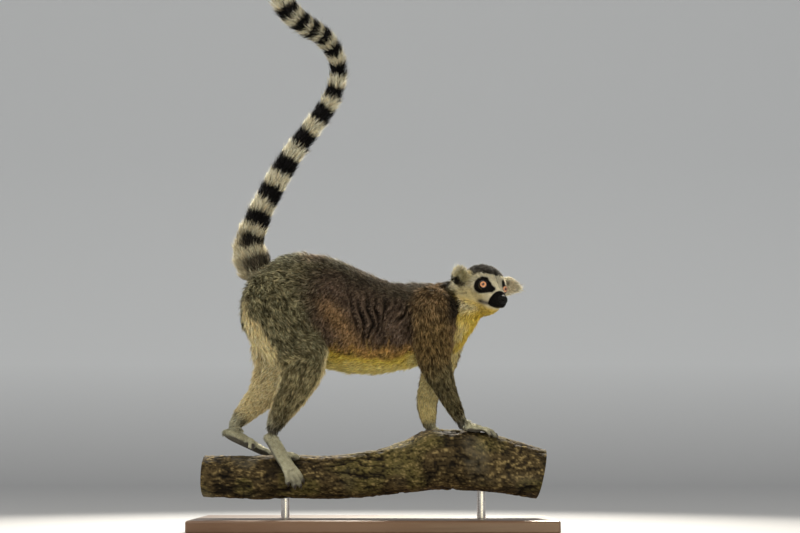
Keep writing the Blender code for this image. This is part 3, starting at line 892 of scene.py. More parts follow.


# %% [markdown]
# ## Markings
#
# The coat of this lemur is olive grey on the rump, darker on the back, purple-brown in the folds of the
# flank with a rust edge, and cream below. The face is white with dark patches round the eyes, a black
# snout and a dark cap. The tail has fourteen dark rings and a dark tip. One function gives the colour at
# any place, and both skin and tufts ask it, so they always agree. It paints some light and shade too:
# shade in the valleys of the folds, at the edge of the nape and in the ears, light in the far ear's hollow,
# and yellow reflected light under the throat and belly.

# %% Colours of the coat
BACK, SADDLE, RUMP = (0.078, 0.064, 0.047), (0.033, 0.027, 0.020), (0.170, 0.154, 0.092)
FLANK, RUST, OLIVE = (0.100, 0.069, 0.052), (0.560, 0.320, 0.090), (0.130, 0.094, 0.028)
SHOULDER, UPPER_ARM, FOREARM = (0.134, 0.090, 0.049), (0.112, 0.075, 0.032), (0.090, 0.075, 0.039)
# The first dark is the nape's dark fur with a painted shadow at its edge.
DARK_FUR_AND_SHADOW, BLACK = (0.018, 0.014, 0.010), (0.0055, 0.005, 0.0055)
CREAM, YELLOW, WHITE = (0.66, 0.55, 0.27), (0.66, 0.46, 0.060), (0.62, 0.57, 0.42)
PALM, KNUCKLE, FINGERTIP = (0.075, 0.070, 0.058), (0.40, 0.39, 0.29), (0.13, 0.125, 0.10)
CREST, LOIN, GROIN = (0.112, 0.114, 0.082), (0.098, 0.066, 0.047), (0.29, 0.175, 0.078)
THIGH, SHANK, INNER_LEG = (0.124, 0.112, 0.066), (0.178, 0.152, 0.082), (0.75, 0.61, 0.35)
CHEEK, FLECK, LID, LIP = (0.52, 0.44, 0.23), (0.11, 0.09, 0.05), (0.20, 0.19, 0.17), (0.060, 0.052, 0.052)
MASK, SNOUT = (0.0045, 0.004, 0.004), (0.0045, 0.0040, 0.0042)
RING_AT = (  # middles of the dark rings along the tail
    0.072, 0.135, 0.202, 0.279, 0.369, 0.457, 0.542, 0.611, 0.675, 0.733, 0.785, 0.828, 0.865, 0.913,
)
RING_TIP = 0.952  # the tail is black from here on
RING_HALF = 0.29  # half width of a dark ring over the step to the next


def mix(one, other, share):
    """Blends two colours, or arrays of colours, by a share for each point."""
    return np.asarray(one) * (1 - share[:, None]) + np.asarray(other) * share[:, None]


def painted(colour, *coats):
    """Lays colours over the first one in turn, each by its share for each point."""
    for other, share in coats:
        colour = mix(colour, other, share)
    return colour


# %% Tail and trunk
def ring_share(spot, wobble):
    """One inside a dark ring of the tail, zero between rings."""
    rings = np.array(RING_AT)
    steps = np.gradient(rings)
    nearest = np.abs(spot[:, None] - rings).argmin(1)
    inside = RING_HALF * steps[nearest] - np.abs(spot - rings[nearest]) + wobble
    return np.maximum(rise(-0.0015, 0.0015, inside), rise(-0.0015, 0.0015, spot - RING_TIP + wobble))


def tail_colour(points, normals, place):
    """White with dark rings, whose edges waver; the root is brown, with a pale rear edge."""
    line = LINES["tail"]
    spot = line["length"][steps_at(place["spot"]["tail"])] / line["length"][-1]
    dark = ring_share(spot, 0.0035 * noise(points, 0.006, 3))
    pale = mix((0.40, 0.36, 0.25), WHITE, rise(0.05, 0.30, spot))
    ink = mix((0.050, 0.042, 0.030), BLACK, rise(0.06, 0.16, spot))
    colour = mix(mix(RUMP, pale, rise(0.02, 0.06, spot)), ink, dark)
    rear = rise(0.25, 0.80, -normals[:, 0]) * rise(0.20, 0.12, spot) * rise(0.0, 0.05, spot)
    return mix(colour, (0.42, 0.37, 0.25), 0.85 * rear)


def trunk_colour(points, normals, spot):
    """From above down: grey back, dark folds, a rust edge, an olive edge and the cream belly, its yellow
    partly painted yellow light reflected from below. Along the trunk: brown shoulder, grey back with a dark
    saddle, olive rump."""
    x, z = points[:, 0], points[:, 2]
    low = -normals[:, 2] + 0.10 * noise(points, 0.030, 13) + 0.07 * noise(points, 0.008, 14)
    flank = rise(0.12, 0.26, spot) * rise(0.74, 0.58, spot)
    saddle = bell(spot - 0.59, 0.15) * rise(-0.95, -0.45, low) * rise(0.15, -0.25, low)
    crest = rise(-0.60, -0.88, low)
    middle = rise(0.16, 0.36, spot) * rise(0.80, 0.60, spot)
    slant = x + 0.077 - 0.72 * (0.325 - z)
    groin = bell(slant, 0.017) * rise(0.332, 0.296, z) * middle
    rust = rise(0.30, 0.58, low) * middle * (0.72 + 0.42 * noise(points, 0.011, 15))
    behind = rise(-0.010, -0.040, x)
    olive = (0.40 + 0.5 * behind) * bell(low - 0.62, 0.07 + 0.03 * behind) * middle
    # The belly's cream with a strong yellow: partly painted yellow light reflected from below.
    belly = mix((0.64, 0.47, 0.085), (0.72, 0.58, 0.21), rise(0.72, 0.98, low))
    return painted(
        BACK,
        (RUMP, rise(0.55, 0.78, spot)),
        (SHOULDER, rise(0.24, 0.08, spot)),
        (SADDLE, 0.85 * saddle),
        (FLANK, 0.85 * flank * rise(-0.72, -0.25, low)),
        (CREST, 0.75 * crest * rise(0.50, 0.68, spot)),
        (LOIN, 0.75 * crest * bell(x + 0.088, 0.024)),
        (GROIN, 0.65 * groin),
        (RUST, np.clip(0.85 * rust, 0, 1)),
        (OLIVE, olive),
        (belly, rise(0.60, 0.74, low)),
    )


# %% Neck and throat
def cream_front(points, waver):
    """One before the slanting line behind the ears where the cream of cheek, neck and breast begins.

    Its X moves back with height over the shoulder: 117 mm at the throat, 110 mm at the breast."""
    z = points[:, 2]
    edge = 0.1170 - 0.0070 * rise(0.306, 0.262, z) - 0.0060 * rise(0.320, 0.360, z)
    return rise(-0.0022, 0.0022, points[:, 0] - edge + waver)


def neck_colour(points, normals):
    """A dark band behind the ears, dark fur with a painted shadow along the nape's edge, fades back into
    brown; before it all is cream, yellower below, partly painted yellow light reflected from below.
    """
    z = points[:, 2]
    waver = 0.0030 * noise(points, 0.008, 17)
    # The band: dark fur, and a painted shadow where the nape meets the neck.
    band = rise(0.086, 0.100, points[:, 0] + waver) * rise(0.276, 0.298, z)
    colour = mix(SHOULDER, DARK_FUR_AND_SHADOW, band)
    # Yellow on the side that faces down: partly the throat's own, partly painted yellow light reflected from
    # below.
    below = rise(-0.15, 0.55, 0.25 * normals[:, 0] - normals[:, 2] - 0.25 * normals[:, 1])
    beside = 0.008 * rise(0.45, 0.90, -normals[:, 1])
    throat_gold_and_bounce = below * rise(0.322, 0.304, z + beside + waver) * rise(0.268, 0.296, z)
    cream = mix((0.82, 0.72, 0.46), WHITE, rise(0.280, 0.320, z))
    cream = mix(cream, YELLOW, 0.15 + 0.70 * throat_gold_and_bounce)
    waver = waver + 0.0022 * noise(points, 0.0028, 20)
    return mix(colour, cream, cream_front(points, waver))


# %% Head and ears
def taper(points, start, end, wide, narrow):
    """Distance from a rod that narrows from its start to its end, zero on its surface."""
    way = end - start
    share = np.clip((points - start) @ way / (way @ way), 0, 1)
    away = points - start - share[:, None] * way
    return lengths(away) - wide - (narrow - wide) * share


CAP_EDGE = (  # distance ahead, and the half width of the dark cap there
    (-0.012, -0.003, 0.0037, 0.0078, 0.0122, 0.0158, 0.0178),
    (0.0260, 0.0275, 0.0265, 0.0218, 0.0154, 0.0060, 0.0),
)


def head_colour(local):
    """White face, dark patches round the eyes that taper towards the nose, black snout, dark cap."""
    x, y, z = local.T
    folded = np.stack([x, np.abs(y), z], axis=1)
    waver = 0.0011 * noise(local, 0.005, 5) + 0.0004 * noise(local, 0.0016, 6)
    cheek = np.maximum(rise(0.004, -0.012, z) * rise(0.045, 0.020, x), rise(0.012, -0.004, x))
    flecks = rise(0.35, 0.60, noise(local, 0.0026, 23)) * bell(x - 0.014, 0.009) * bell(z + 0.010, 0.008)
    cap = np.interp(x, *CAP_EDGE) - np.abs(y) + waver
    cap = rise(-0.0018, 0.0018, cap) * rise(0.0070, 0.0110, z)
    grizzled = mix((0.010, 0.009, 0.008), (0.036, 0.032, 0.026), 0.5 + 0.5 * noise(local, 0.0024, 7))
    patch = taper(folded, EYE_AT, EYE_AT + (0.0150, -0.0066, 0.0002), 0.0128, 0.0042) + waver
    grey = 0.90 * bell(z - np.interp(x, *MOUTH_LEVEL) - 0.002, 0.0032) * rise(0.020, 0.028, x)
    black = rise(0.0405, 0.0425, x - 0.10 * z + 0.7 * waver) * rise(-0.0178, -0.0160, z)
    return painted(
        WHITE,
        (CHEEK, 0.85 * cheek),
        (FLECK, 0.7 * flecks),
        (YELLOW, 0.8 * rise(-0.0160, -0.0250, z)),
        (grizzled, cap),
        (LID, 0.5 * rise(0.0028, 0.0005, patch)),
        (MASK, rise(0.0008, -0.0008, patch)),
        (LIP, grey * rise(0.045, 0.038, x)),
        (SNOUT, black),
    )


def hollow_of(local, side):
    """How far inside the hollow of an ear each point lies, and its place in the ear's own directions."""
    beyond = to_ear(local, side)
    inside = np.hypot(beyond[:, 1] / 0.0115, (beyond[:, 2] - 0.002) / 0.0165)
    return rise(1.05, 0.85, inside) * rise(-0.0045, -0.001, beyond[:, 0]), beyond


# Hollow colours by side: the far ear's is painted light, as if lit through, and the near ear's is painted
# shade.
EAR_HOLLOW_LIT_AND_SHADED = {LEFT: (0.60, 0.52, 0.38), RIGHT: (0.30, 0.27, 0.15)}
# The dark at the bottom of each hollow is a painted shadow in the ear's opening.
EAR_OPENING_SHADOW = {  # the dark opening: its place across and up the ear, its lean, and its half sizes
    LEFT: ((0.0, -0.006), 0.0, (0.0105, 0.0095)), RIGHT: ((0.0050, -0.0012), 0.83, (0.0105, 0.0056)),
}


def ear_colour(local, side):
    """White outside and on the rim. In the hollow it is cream on the far ear, painted light, and olive on
    the near one, painted shade; dark at its bottom, a painted shadow in the opening, stronger on the near
    ear.
    """
    hollow, beyond = hollow_of(local, side)
    colour = mix(WHITE, EAR_HOLLOW_LIT_AND_SHADED[side], 0.9 * hollow)
    at, lean, size = EAR_OPENING_SHADOW[side]
    along = (beyond[:, 1:] - at) @ (math.cos(lean), math.sin(lean))
    over = (beyond[:, 1:] - at) @ (-math.sin(lean), math.cos(lean))
    deep = np.hypot(along / size[0], over / size[1]) + 0.22 * noise(local, 0.0035, 19)
    dark = rise(1.10, 0.85, deep) * rise(-0.0045, -0.001, beyond[:, 0]) * (0.6, 1.0)[side < 0]
    return mix(colour, (0.012, 0.010, 0.009), dark)


# %% Limbs, and the whole animal
CREAM_EDGE = (  # Z, and the X behind which the hind leg is cream
    (0.182, 0.203, 0.245, 0.282, 0.299), (-0.143, -0.131, -0.134, -0.157, -0.179),
)


def limb_colour(points, normals, spot, side, leg):
    """Grey-brown outside, cream inside and behind, dark bare skin on palm and sole."""
    ragged = 0.12 * noise(points, 0.02, 11) + 0.10 * noise(points, 0.006, 12)
    ahead = leg * (1.25 * rise(0.26, 0.38, spot) - 0.35)
    inner = rise(0.05, 0.45, -side * normals[:, 1] + ahead * normals[:, 0] + ragged)
    if leg:
        edge = np.interp(points[:, 2], *CREAM_EDGE) + 0.025 * ragged
        behind = rise(0.004, -0.004, points[:, 0] - edge) * rise(0.310, 0.295, points[:, 2])
        behind = np.maximum(behind, rise(0.75, 0.95, -normals[:, 0] + ragged) * rise(0.04, 0.14, spot))
        inner = np.maximum(inner, behind)
        outer = painted(RUMP, (THIGH, rise(0.04, 0.14, spot)), (SHANK, rise(0.30, 0.50, spot)))
    else:
        outer = painted(SHOULDER, (UPPER_ARM, rise(0.05, 0.26, spot)), (FOREARM, rise(0.28, 0.45, spot)))
    pale = mix(CREAM, INNER_LEG, np.full(len(points), 0.8 * leg))
    colour = mix(outer, pale, inner * rise(0.02, 0.12, spot) * (1 - rise(0.58, 0.66, spot)))
    paw = mix(KNUCKLE, PALM, rise(0.1, -0.4, normals[:, 2]))
    paw = paw * (1 + 0.22 * noise(points, 0.0045, 16) + 0.16 * noise(points, 0.002, 18))[:, None]
    paw = mix(paw, FINGERTIP, rise(0.86, 0.97, spot) * 0.8)
    return mix(colour, paw, rise(0.59, 0.67, spot))


def markings(points, normals, place=None):
    """Colour of the coat at the points, for surfaces that face along the normals."""
    place = place or survey(points)
    collar = rise(0.078, 0.098, points[:, 0]) * rise(0.262, 0.285, points[:, 2])
    breastbone = rise(0.095, 0.106, points[:, 0]) * rise(0.276, 0.296, points[:, 2])
    neck = neck_colour(points, normals)
    colours = {
        "trunk": mix(trunk_colour(points, normals, place["spot"]["trunk"]), neck, collar),
        "neck": neck,
        "tail": tail_colour(points, normals, place),
        "head": head_colour(place["head"]),
    }
    for side, word in SIDES:
        colours["ear_" + word] = ear_colour(place["head"], side)
        for limb in ("arm_", "leg_"):
            spot = place["spot"][limb + word]
            colours[limb + word] = limb_colour(points, normals, spot, side, limb == "leg_")
        colours["arm_" + word] = mix(colours["arm_" + word], neck, breastbone)
    total = sum(place["share"][:, k : k + 1] * colours[name] for k, name in enumerate(PARTS))
    breast = cream_front(points, 0.003 * noise(points, 0.008, 17)) * rise(0.225, 0.25, points[:, 2])
    inward = rise(0.9, 0.3, np.abs(normals[:, 1])) * (1 - place["share"][:, LIMBS].sum(1))
    total = mix(total, YELLOW, breast * inward * rise(0.312, 0.300, points[:, 2]) * 0.9)
    # The valleys of the flank's folds are darkened almost to black: a painted shade.
    return total * (1 - 0.97 * folds(points, normals))[:, None]


skin_place = survey(points)
skin_colour = markings(points, normals, skin_place)
print("markings on", len(points), "points of skin")


# %% [markdown]
# ## Skin and hair
#
# Both read a colour attribute, so the markings travel with the mesh. The hair is rough and has no sheen,
# which would grey the dark marks. The skin has a fine bump, which is all that the shortest hair needs.

# %% Skin and coat materials
HAIR, hair_tree, hair_shader = principled("hair", 0.78, Specular_IOR_Level=0.08)
reads_coat(hair_tree, hair_shader)
SKIN, skin_tree, skin_shader = principled("downy_skin", 0.8, Specular_IOR_Level=0.06)
reads_coat(skin_tree, skin_shader)
grained(skin_tree, skin_shader, 900, 0.0004, rough=(0.72, 0.90))

colour_attribute(skin_mesh, skin_colour)
skin_mesh.materials.clear()
skin_mesh.materials.append(SKIN)
skin_mesh.shade_smooth()
skin = link(bpy.data.objects.new("skin", skin_mesh))
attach(skin, "root")
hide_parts(*FLESH)


# %% [markdown]
# ## The coat
#
# Three kinds of spike make the coat. A tuft is three-sided, tapers to a point and bends once, so that it
# first rises from the skin and then lies down along the body. A guard hair is thinner and straight, and
# stands out a little further. Down is a short straight spike for the face, ears and paws. Each piece of
# the coat is one mesh, worked out as arrays.

# %% Lie of the hair
def on_flank(place):
    """One at the middle of the trunk, zero at shoulder and hip."""
    spot = place["spot"]["trunk"]
    return rise(0.10, 0.26, spot) * rise(0.72, 0.56, spot)


def lie(points, normals, place):
    """Unit direction of the hair along the surface: down every middle line, drooping on flanks and rump,
    backwards over the head and out along the ears."""
    ways = {}
    for name, line in LINES.items():
        ways[name] = line["way"][steps_at(place["spot"][name])]
    droop = rise(0.9, 0.2, np.abs(normals[:, 2])) * (0.45 + 1.3 * on_flank(place))
    droop = droop[:, None] * np.array((0, 0, -1.0))
    rump = rise(0.72, 0.95, place["spot"]["trunk"])[:, None] * np.array((0.3, 0, -1.3))
    ways["trunk"] = ways["trunk"] + droop + rump
    ways["neck"] = -ways["neck"] + droop
    local = place["head"]
    back = np.stack([np.full(len(points), -1.0), 0.5 * np.sign(local[:, 1]), np.full(len(points), -0.25)], 1)
    for side, word in SIDES:
        away = local - eye_at(side)
        back = back + away / 0.012 * bell(lengths(away)[:, None], 0.016) * 0.8
        fan = to_ear(local, side)
        out = unit(fan * (0.3, 1, 1) + (0, 0, 0.014)) @ EAR_AXES[side]
        ways["ear_" + word] = out @ HEAD_AXES
    ways["head"] = unit(back) @ HEAD_AXES
    total = sum(place["share"][:, k : k + 1] * ways[name] for k, name in enumerate(PARTS))
    stir = np.stack([noise(points, 0.018, 21 + k) for k in range(3)], axis=1)
    curl = np.stack([noise(points, 0.0055, 24 + k) for k in range(3)], axis=1) * breadth(place)[:, None]
    total = total + 0.18 * stir + 0.55 * curl
    return unit(total - (total * normals).sum(1, keepdims=True) * normals)


# %% Three kinds of spike
TUFT_FACES = ((0, 2, 1), (0, 1, 4, 3), (1, 2, 5, 4), (2, 0, 3, 5), (3, 4, 6), (4, 5, 6), (5, 3, 6))
# Tone by corner: darker roots, partly the hair's own darker base and partly painted shade of the coat's
# depth; a lighter tip, the hair's pale ticking.
TUFT_ROOT_SHADE_AND_TIPS = np.array((0.30, 0.30, 0.30, 0.80, 0.80, 0.80, 1.50))
TUFT_PATCH = np.array(((0, 0), (1, 0), (0.5, 0), (0.1, 0.5), (0.9, 0.5), (0.5, 0.5), (0.5, 1)))
SPIKE_FACES = ((0, 2, 1), (0, 1, 3), (1, 2, 3), (2, 0, 3))
# Straight spikes likewise: darker roots, partly painted shade, and lighter pale tips.
SPIKE_ROOT_SHADE_AND_TIPS = np.array((0.55, 0.55, 0.55, 1.35))
SPIKE_PATCH = np.array(((0, 0), (1, 0), (0.5, 0.1), (0.5, 1)))
PATCH = 0.003  # width of a tuft's patch on the unwrap
TUFT_SINK, SPIKE_SINK = 0.0006, 0.0004  # how far a root starts under the skin
BEND = 0.48  # share of a tuft's length before its bend


def tuft_points(roots, normals, ways, length, width, lift, curl, rng):
    """Seven points for each tuft: three at the root, three half way and one at the tip.

    The first half leaves the skin at the lift angle and the second at the curl angle. A little random
    turn of the section and of the direction keeps neighbours from looking alike.
    """
    count = len(roots)
    side = np.cross(normals, ways)
    ways = unit(ways + side * rng.normal(0, 0.20, (count, 1)))
    side = np.cross(normals, ways)
    lift = (lift + rng.normal(0, 0.12, count))[:, None]
    curl = (curl + rng.normal(0, 0.09, count))[:, None]
    first = np.cos(lift) * ways + np.sin(lift) * normals
    second = np.cos(curl) * ways + np.sin(curl) * normals
    second = unit(second + side * rng.normal(0, 0.14, (count, 1)))
    length = (length * rng.uniform(0.70, 1.15, count))[:, None]
    start = roots - normals * TUFT_SINK
    middle = start + first * length * BEND
    tip = middle + second * length * (1 - BEND)
    twist = rng.uniform(-0.5, 0.5, count)[:, None]
    flat = (np.cos(twist) * side + np.sin(twist) * normals) * (width / 2)[:, None]
    thick = (np.cos(twist) * normals - np.sin(twist) * side) * (width * 0.42)[:, None]
    root = [start - flat, start + flat, start + thick]
    waist = [middle - 0.8 * flat, middle + 0.8 * flat, middle + 0.8 * thick]
    return np.stack([*root, *waist, tip], axis=1)


def spike_points(roots, normals, ways, length, width, lift, rng):
    """Four points for each straight spike: a three-cornered root and a tip."""
    count = len(roots)
    side = np.cross(normals, ways)
    ways = unit(ways + side * rng.normal(0, 0.22, (count, 1)))
    side = np.cross(normals, ways)
    lift = (lift + rng.normal(0, 0.12, count))[:, None]
    way = np.cos(lift) * ways + np.sin(lift) * normals
    above = np.cross(way, side)
    length = (length * rng.uniform(0.65, 1.2, count))[:, None]
    start = roots - normals * SPIKE_SINK
    flat, thick = side * (width / 2)[:, None], -above * (width * 0.8)[:, None]
    return np.stack([start - flat, start + flat, start + thick, start + way * length], axis=1)


# %% One mesh of many spikes
# The woolly clumps' tone: painted shade in the gaps between clumps and painted light on their crests, with
# some real unevenness of the hair.
CLUMP_SHADE_CONTRAST, CREST_NOISE, EVEN_TONE = 3.2, 0.30, 0.97  # of the woolly clumps


def coat_mesh(name, kinds):
    """One mesh of spikes of several kinds. Each kind gives its points (count, corners, 3), its faces, its
    shade and patch by corner, and a colour, a share of the clumps' painted shade and a place on the unwrap
    for each spike. Every corner is darker or lighter by the wool noise where it lies: exp(contrast * noise *
    that share), with the noise held under a limit, so that gaps go dark, a painted shade, and crests stay
    even."""
    points, colours, patches, index, sizes, start = [], [], [], [], [], 0
    for spikes, faces, shade, patch, colour, clump_shading, unwrap in kinds:
        count, corners = spikes.shape[:2]
        points.append(spikes.reshape(-1, 3))
        held = np.minimum(wool(points[-1]), CREST_NOISE)
        # Painted shade in the gaps between clumps, where the wool noise is low, and painted light on the
        # crests.
        curl = EVEN_TONE * np.exp(CLUMP_SHADE_CONTRAST * held * clump_shading.repeat(corners))
        colours.append((shade[None, :, None] * colour[:, None, :]).reshape(-1, 3) * curl[:, None])
        patches.append((unwrap[:, None, :] + patch[None] * PATCH).reshape(-1, 2))
        around = np.concatenate([np.array(face) for face in faces])
        index.append((start + np.arange(count)[:, None] * corners + around).ravel())
        sizes.append(np.tile([len(face) for face in faces], count))
        start += count * corners
    points, index, sizes = np.concatenate(points), np.concatenate(index), np.concatenate(sizes)
    mesh = bpy.data.meshes.new(name)
    mesh.vertices.add(len(points))
    mesh.vertices.foreach_set("co", points.astype(np.float32).ravel())
    mesh.loops.add(len(index))
    mesh.loops.foreach_set("vertex_index", index.astype(np.int32))
    mesh.polygons.add(len(sizes))
    mesh.polygons.foreach_set("loop_start", np.append(0, np.cumsum(sizes)[:-1]).astype(np.int32))
    mesh.update(calc_edges=True)
    mesh.shade_smooth()
    colour_attribute(mesh, np.clip(np.concatenate(colours), 0, 1))
    layer = mesh.uv_layers.new(name="OFBake")
    layer.data.foreach_set("uv", np.concatenate(patches)[index].astype(np.float32).ravel())
    mesh.materials.append(HAIR)
    return link(bpy.data.objects.new(name, mesh))


def unrolled(name, points, spot, local):
    """Unwrap of the skin round a middle line: how far along it, and the angle round it."""
    if name in LINES:
        line = LINES[name]
        near = steps_at(spot)
        way, away = line["way"][near], points - line["at"][near]
        along = line["length"][near] + (away * way).sum(1)
        first = unit(np.cross(way, (0.3, 0.9, 0.31)))
        angle = np.arctan2((away * np.cross(way, first)).sum(1), (away * first).sum(1))
    else:
        along, angle = local[:, 0], np.arctan2(local[:, 1], local[:, 2])
    flat = np.stack([(along - along.min()) / np.ptp(along), angle / (2 * math.pi) + 0.5], axis=1)
    return flat * (1 - 2 * PATCH) + PATCH / 2


# %% [markdown]
# ## Combing
#
# Roots are scattered over the skin, closer where the coat is fine. At each root the shares of the parts
# give length, width and lift. Clumps come from one noise that lifts, brightens and turns whole groups of
# tufts, so the coat shows the woolly texture of the real one; its brightening of crests and darkening of
# the gaps between clumps are painted light and shade. Bare skin stays bare.

# %% Roots of the tufts
CROWD = 1
TUFTS, GUARDS, DOWN = 104000 // CROWD, 60000 // CROWD, 62000 // CROWD
skin_points, skin_corners = read(skin_mesh)
skin_normals = put(skin_mesh, skin_points)


def roots_for(count, weights, seed):
    """Roots with their normals, places and lie: as many as asked, spread by area and weight."""
    rng = np.random.default_rng(seed)
    weights = weights[skin_corners].mean(1)
    picked, shares = scatter(skin_points, skin_corners, count, rng, weights)
    corners, shares = skin_corners[picked], shares[:, :, None]
    roots, up = (skin_points[corners] * shares).sum(1), unit((skin_normals[corners] * shares).sum(1))
    place = survey(roots)
    return roots, up, place, lie(roots, up, place), rng


PAD_FROM, KNUCKLES_FROM, DOWN_FROM = 0.67, 0.76, 0.62  # shares of a limb's line


def bare_places(up, place):
    """True where no long hair grows: face, palms and paws."""
    local = place["head"]
    bare = (place["part"] == PARTS.index("head")) & (local[:, 0] > 0.012 + 0.25 * np.maximum(local[:, 2], 0))
    bare &= (local[:, 2] > -0.021) | (local[:, 0] > 0.036)
    for limb in LIMBS:
        spot = place["spot"][PARTS[limb]]
        bare |= (place["part"] == limb) & ((spot > KNUCKLES_FROM) | ((spot > PAD_FROM) & (up[:, 2] < 0.0)))
    return bare


def tones(colour, place, spread, rng):
    """Colours with a random tone and warmth for each spike, and how much each spike takes of the painted
    shade and light of the wool noise's clumps. Pale hair is more even than dark."""
    pale = rise(0.12, 0.36, colour[:, 1])
    clump_shading = (0.25 + 0.75 * breadth(place)) * (1 - 0.80 * pale)
    clump_shading = clump_shading * (1 - 0.50 * on_flank(place) * share_of(place, "trunk"))
    tone = np.minimum(rng.lognormal(0, spread * (1 - 0.4 * pale), len(colour)), 1.9)
    warm = 1 + rng.normal(0, 0.05, (len(colour), 1)) * np.array((1, 0, -1))
    return colour * tone[:, None] * warm, clump_shading


# %% Tufts and guard hairs
LENGTH = dict(
    trunk=0.0125, tail=0.0185, neck=0.0120, head=0.0068, ear=0.0078,
    arm=(0.0110, 0.0090, 0.0075, 0.0080, 0.0040), leg=(0.0125, 0.0105, 0.0090, 0.0100, 0.0045),
)
WIDTH = dict(
    trunk=0.00145, tail=0.0013, neck=0.0012, head=0.0008, ear=0.0007,
    arm=(0.0013, 0.0011, 0.0009, 0.0009, 0.0006), leg=(0.0014, 0.0012, 0.0010, 0.0010, 0.0006),
)
LIFT = dict(
    trunk=0.72, tail=0.85, neck=0.56, head=0.50, ear=0.40,
    arm=(0.66, 0.58, 0.44, 0.30, 0.20), leg=(0.72, 0.62, 0.48, 0.34, 0.20),
)
DENSITY = dict(
    trunk=1.0, tail=1.8, neck=1.3, head=1.2, ear=1.2,
    arm=(1.1, 1.3, 1.5, 1.5, 1.2), leg=(1.0, 1.1, 1.4, 1.4, 1.2),
)


def fur(place, table):
    """Value of a table at each place, blended between the parts."""
    return blend(place, limb_values(place, **table))


FLANK_CUT, VALLEY_CUT, BREECHES = 0.45, 0.30, 0.7
FRINGE = {LEFT: 0.95, RIGHT: 0.35}


def trimmed(roots, up, place):
    """Share of the full length: shorter on the folded flank, most in the valleys; longer behind the
    thighs and at the tips of the ears, where a fringe stands off the rim."""
    steep = rise(-0.9, -0.5, -up[:, 2]) * rise(0.9, 0.5, -up[:, 2])
    flank = on_flank(place) * share_of(place, "trunk") * steep
    share = 1 - FLANK_CUT * flank - VALLEY_CUT * folds(roots, up)
    for side, word in SIDES:
        beyond = to_ear(place["head"], side)
        tip = rise(0.002, 0.016, beyond[:, 2]) * share_of(place, "ear_" + word)
        share = share + tip * FRINGE[side]
        rear = rise(0.1, 0.7, -up[:, 0]) * bell(place["spot"]["leg_" + word] - 0.30, 0.14)
        share = share + BREECHES * rear * share_of(place, "leg_" + word)
    return share


def grow(count, seed, guard):
    """Tufts, or guard hairs, of the whole body: their points and colours, and where they root."""
    roots, up, place, ways, rng = roots_for(count, fur(skin_place, DENSITY), seed)
    keep = ~bare_places(up, place)
    lump = wool(roots) * breadth(place)
    length, width, lift = fur(place, LENGTH), fur(place, WIDTH), fur(place, LIFT) + 0.22 * lump
    length = length * trimmed(roots, up, place) * (1 + 0.30 * lump)
    lift = lift * (1 - 0.55 * folds(roots, up))
    reach = roots + ways * (length * 0.6)[:, None]
    colour, clump_shading = tones(markings(reach, up), place, 0.58 if guard else 0.50, rng)
    width = width * (math.sqrt(CROWD) * (0.45 if guard else 1.0))
    if guard:
        made = spike_points(roots, up, ways, length * 0.98, width, lift * 0.78, rng)
        colour = colour * 1.15
    else:
        made = tuft_points(roots, up, ways, length, width, lift, lift * 0.32, rng)
    return {
        "spikes": made, "colour": colour, "clump_shading": clump_shading, "roots": roots, "place": place, "keep": keep,
    }


def piece_of(grown):
    """The name of the coat piece that each root belongs to."""
    place, roots = grown["place"], grown["roots"]
    part = np.array(PARTS)[place["part"]]
    names = np.char.add("coat_", part.astype("U24"))
    ends = np.where(place["spot"]["trunk"] < 0.5, "front", "rear")
    halves = np.where(roots[:, 1] > 0, "left", "right")
    quarter = np.char.add(np.char.add(np.char.add("coat_trunk_", ends), "_"), halves)
    names = np.where(part == "trunk", quarter, names)
    third = np.where(place["spot"]["tail"] < 0.4, "coat_tail_lower", "coat_tail_upper")
    return np.where(part == "tail", third, names), part


tufts = grow(TUFTS, 2024, guard=False)
guards = grow(GUARDS, 2025, guard=True)
tuft_piece, tuft_part = piece_of(tufts)
guard_piece, _ = piece_of(guards)
TUFT_KIND, SPIKE_KIND = (TUFT_FACES, TUFT_ROOT_SHADE_AND_TIPS, TUFT_PATCH), (SPIKE_FACES, SPIKE_ROOT_SHADE_AND_TIPS, SPIKE_PATCH)


def kind_rows(grown, those, part, kind):
    """The chosen spikes of one kind, as coat_mesh wants them."""
    roots = grown["roots"][those]
    spot = grown["place"]["spot"].get(part, np.zeros(len(those)))[those]
    flat = unrolled(part, roots, spot, grown["place"]["head"][those])
    return (grown["spikes"][those], *kind, grown["colour"][those], grown["clump_shading"][those], flat)


for piece in np.unique(tuft_piece):
    part = tuft_part[tuft_piece == piece][0]
    mine = tufts["keep"] & (tuft_piece == piece)
    also = guards["keep"] & (guard_piece == piece)
    made = coat_mesh(str(piece), [
        kind_rows(tufts, mine, str(part), TUFT_KIND), kind_rows(guards, also, str(part), SPIKE_KIND),
    ])
    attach(made, "root")
    print(piece, "has", mine.sum(), "tufts and", also.sum(), "guard hairs")


# %% [markdown]
# ## Down
#
# The face, the hollows of the ears and the backs of the paws carry short hair; in the ears it grows among
# the tufts. It lies flat and away from the eyes, shorter towards the nose and the lids, and leaves the lids'
# edges and the palms bare.

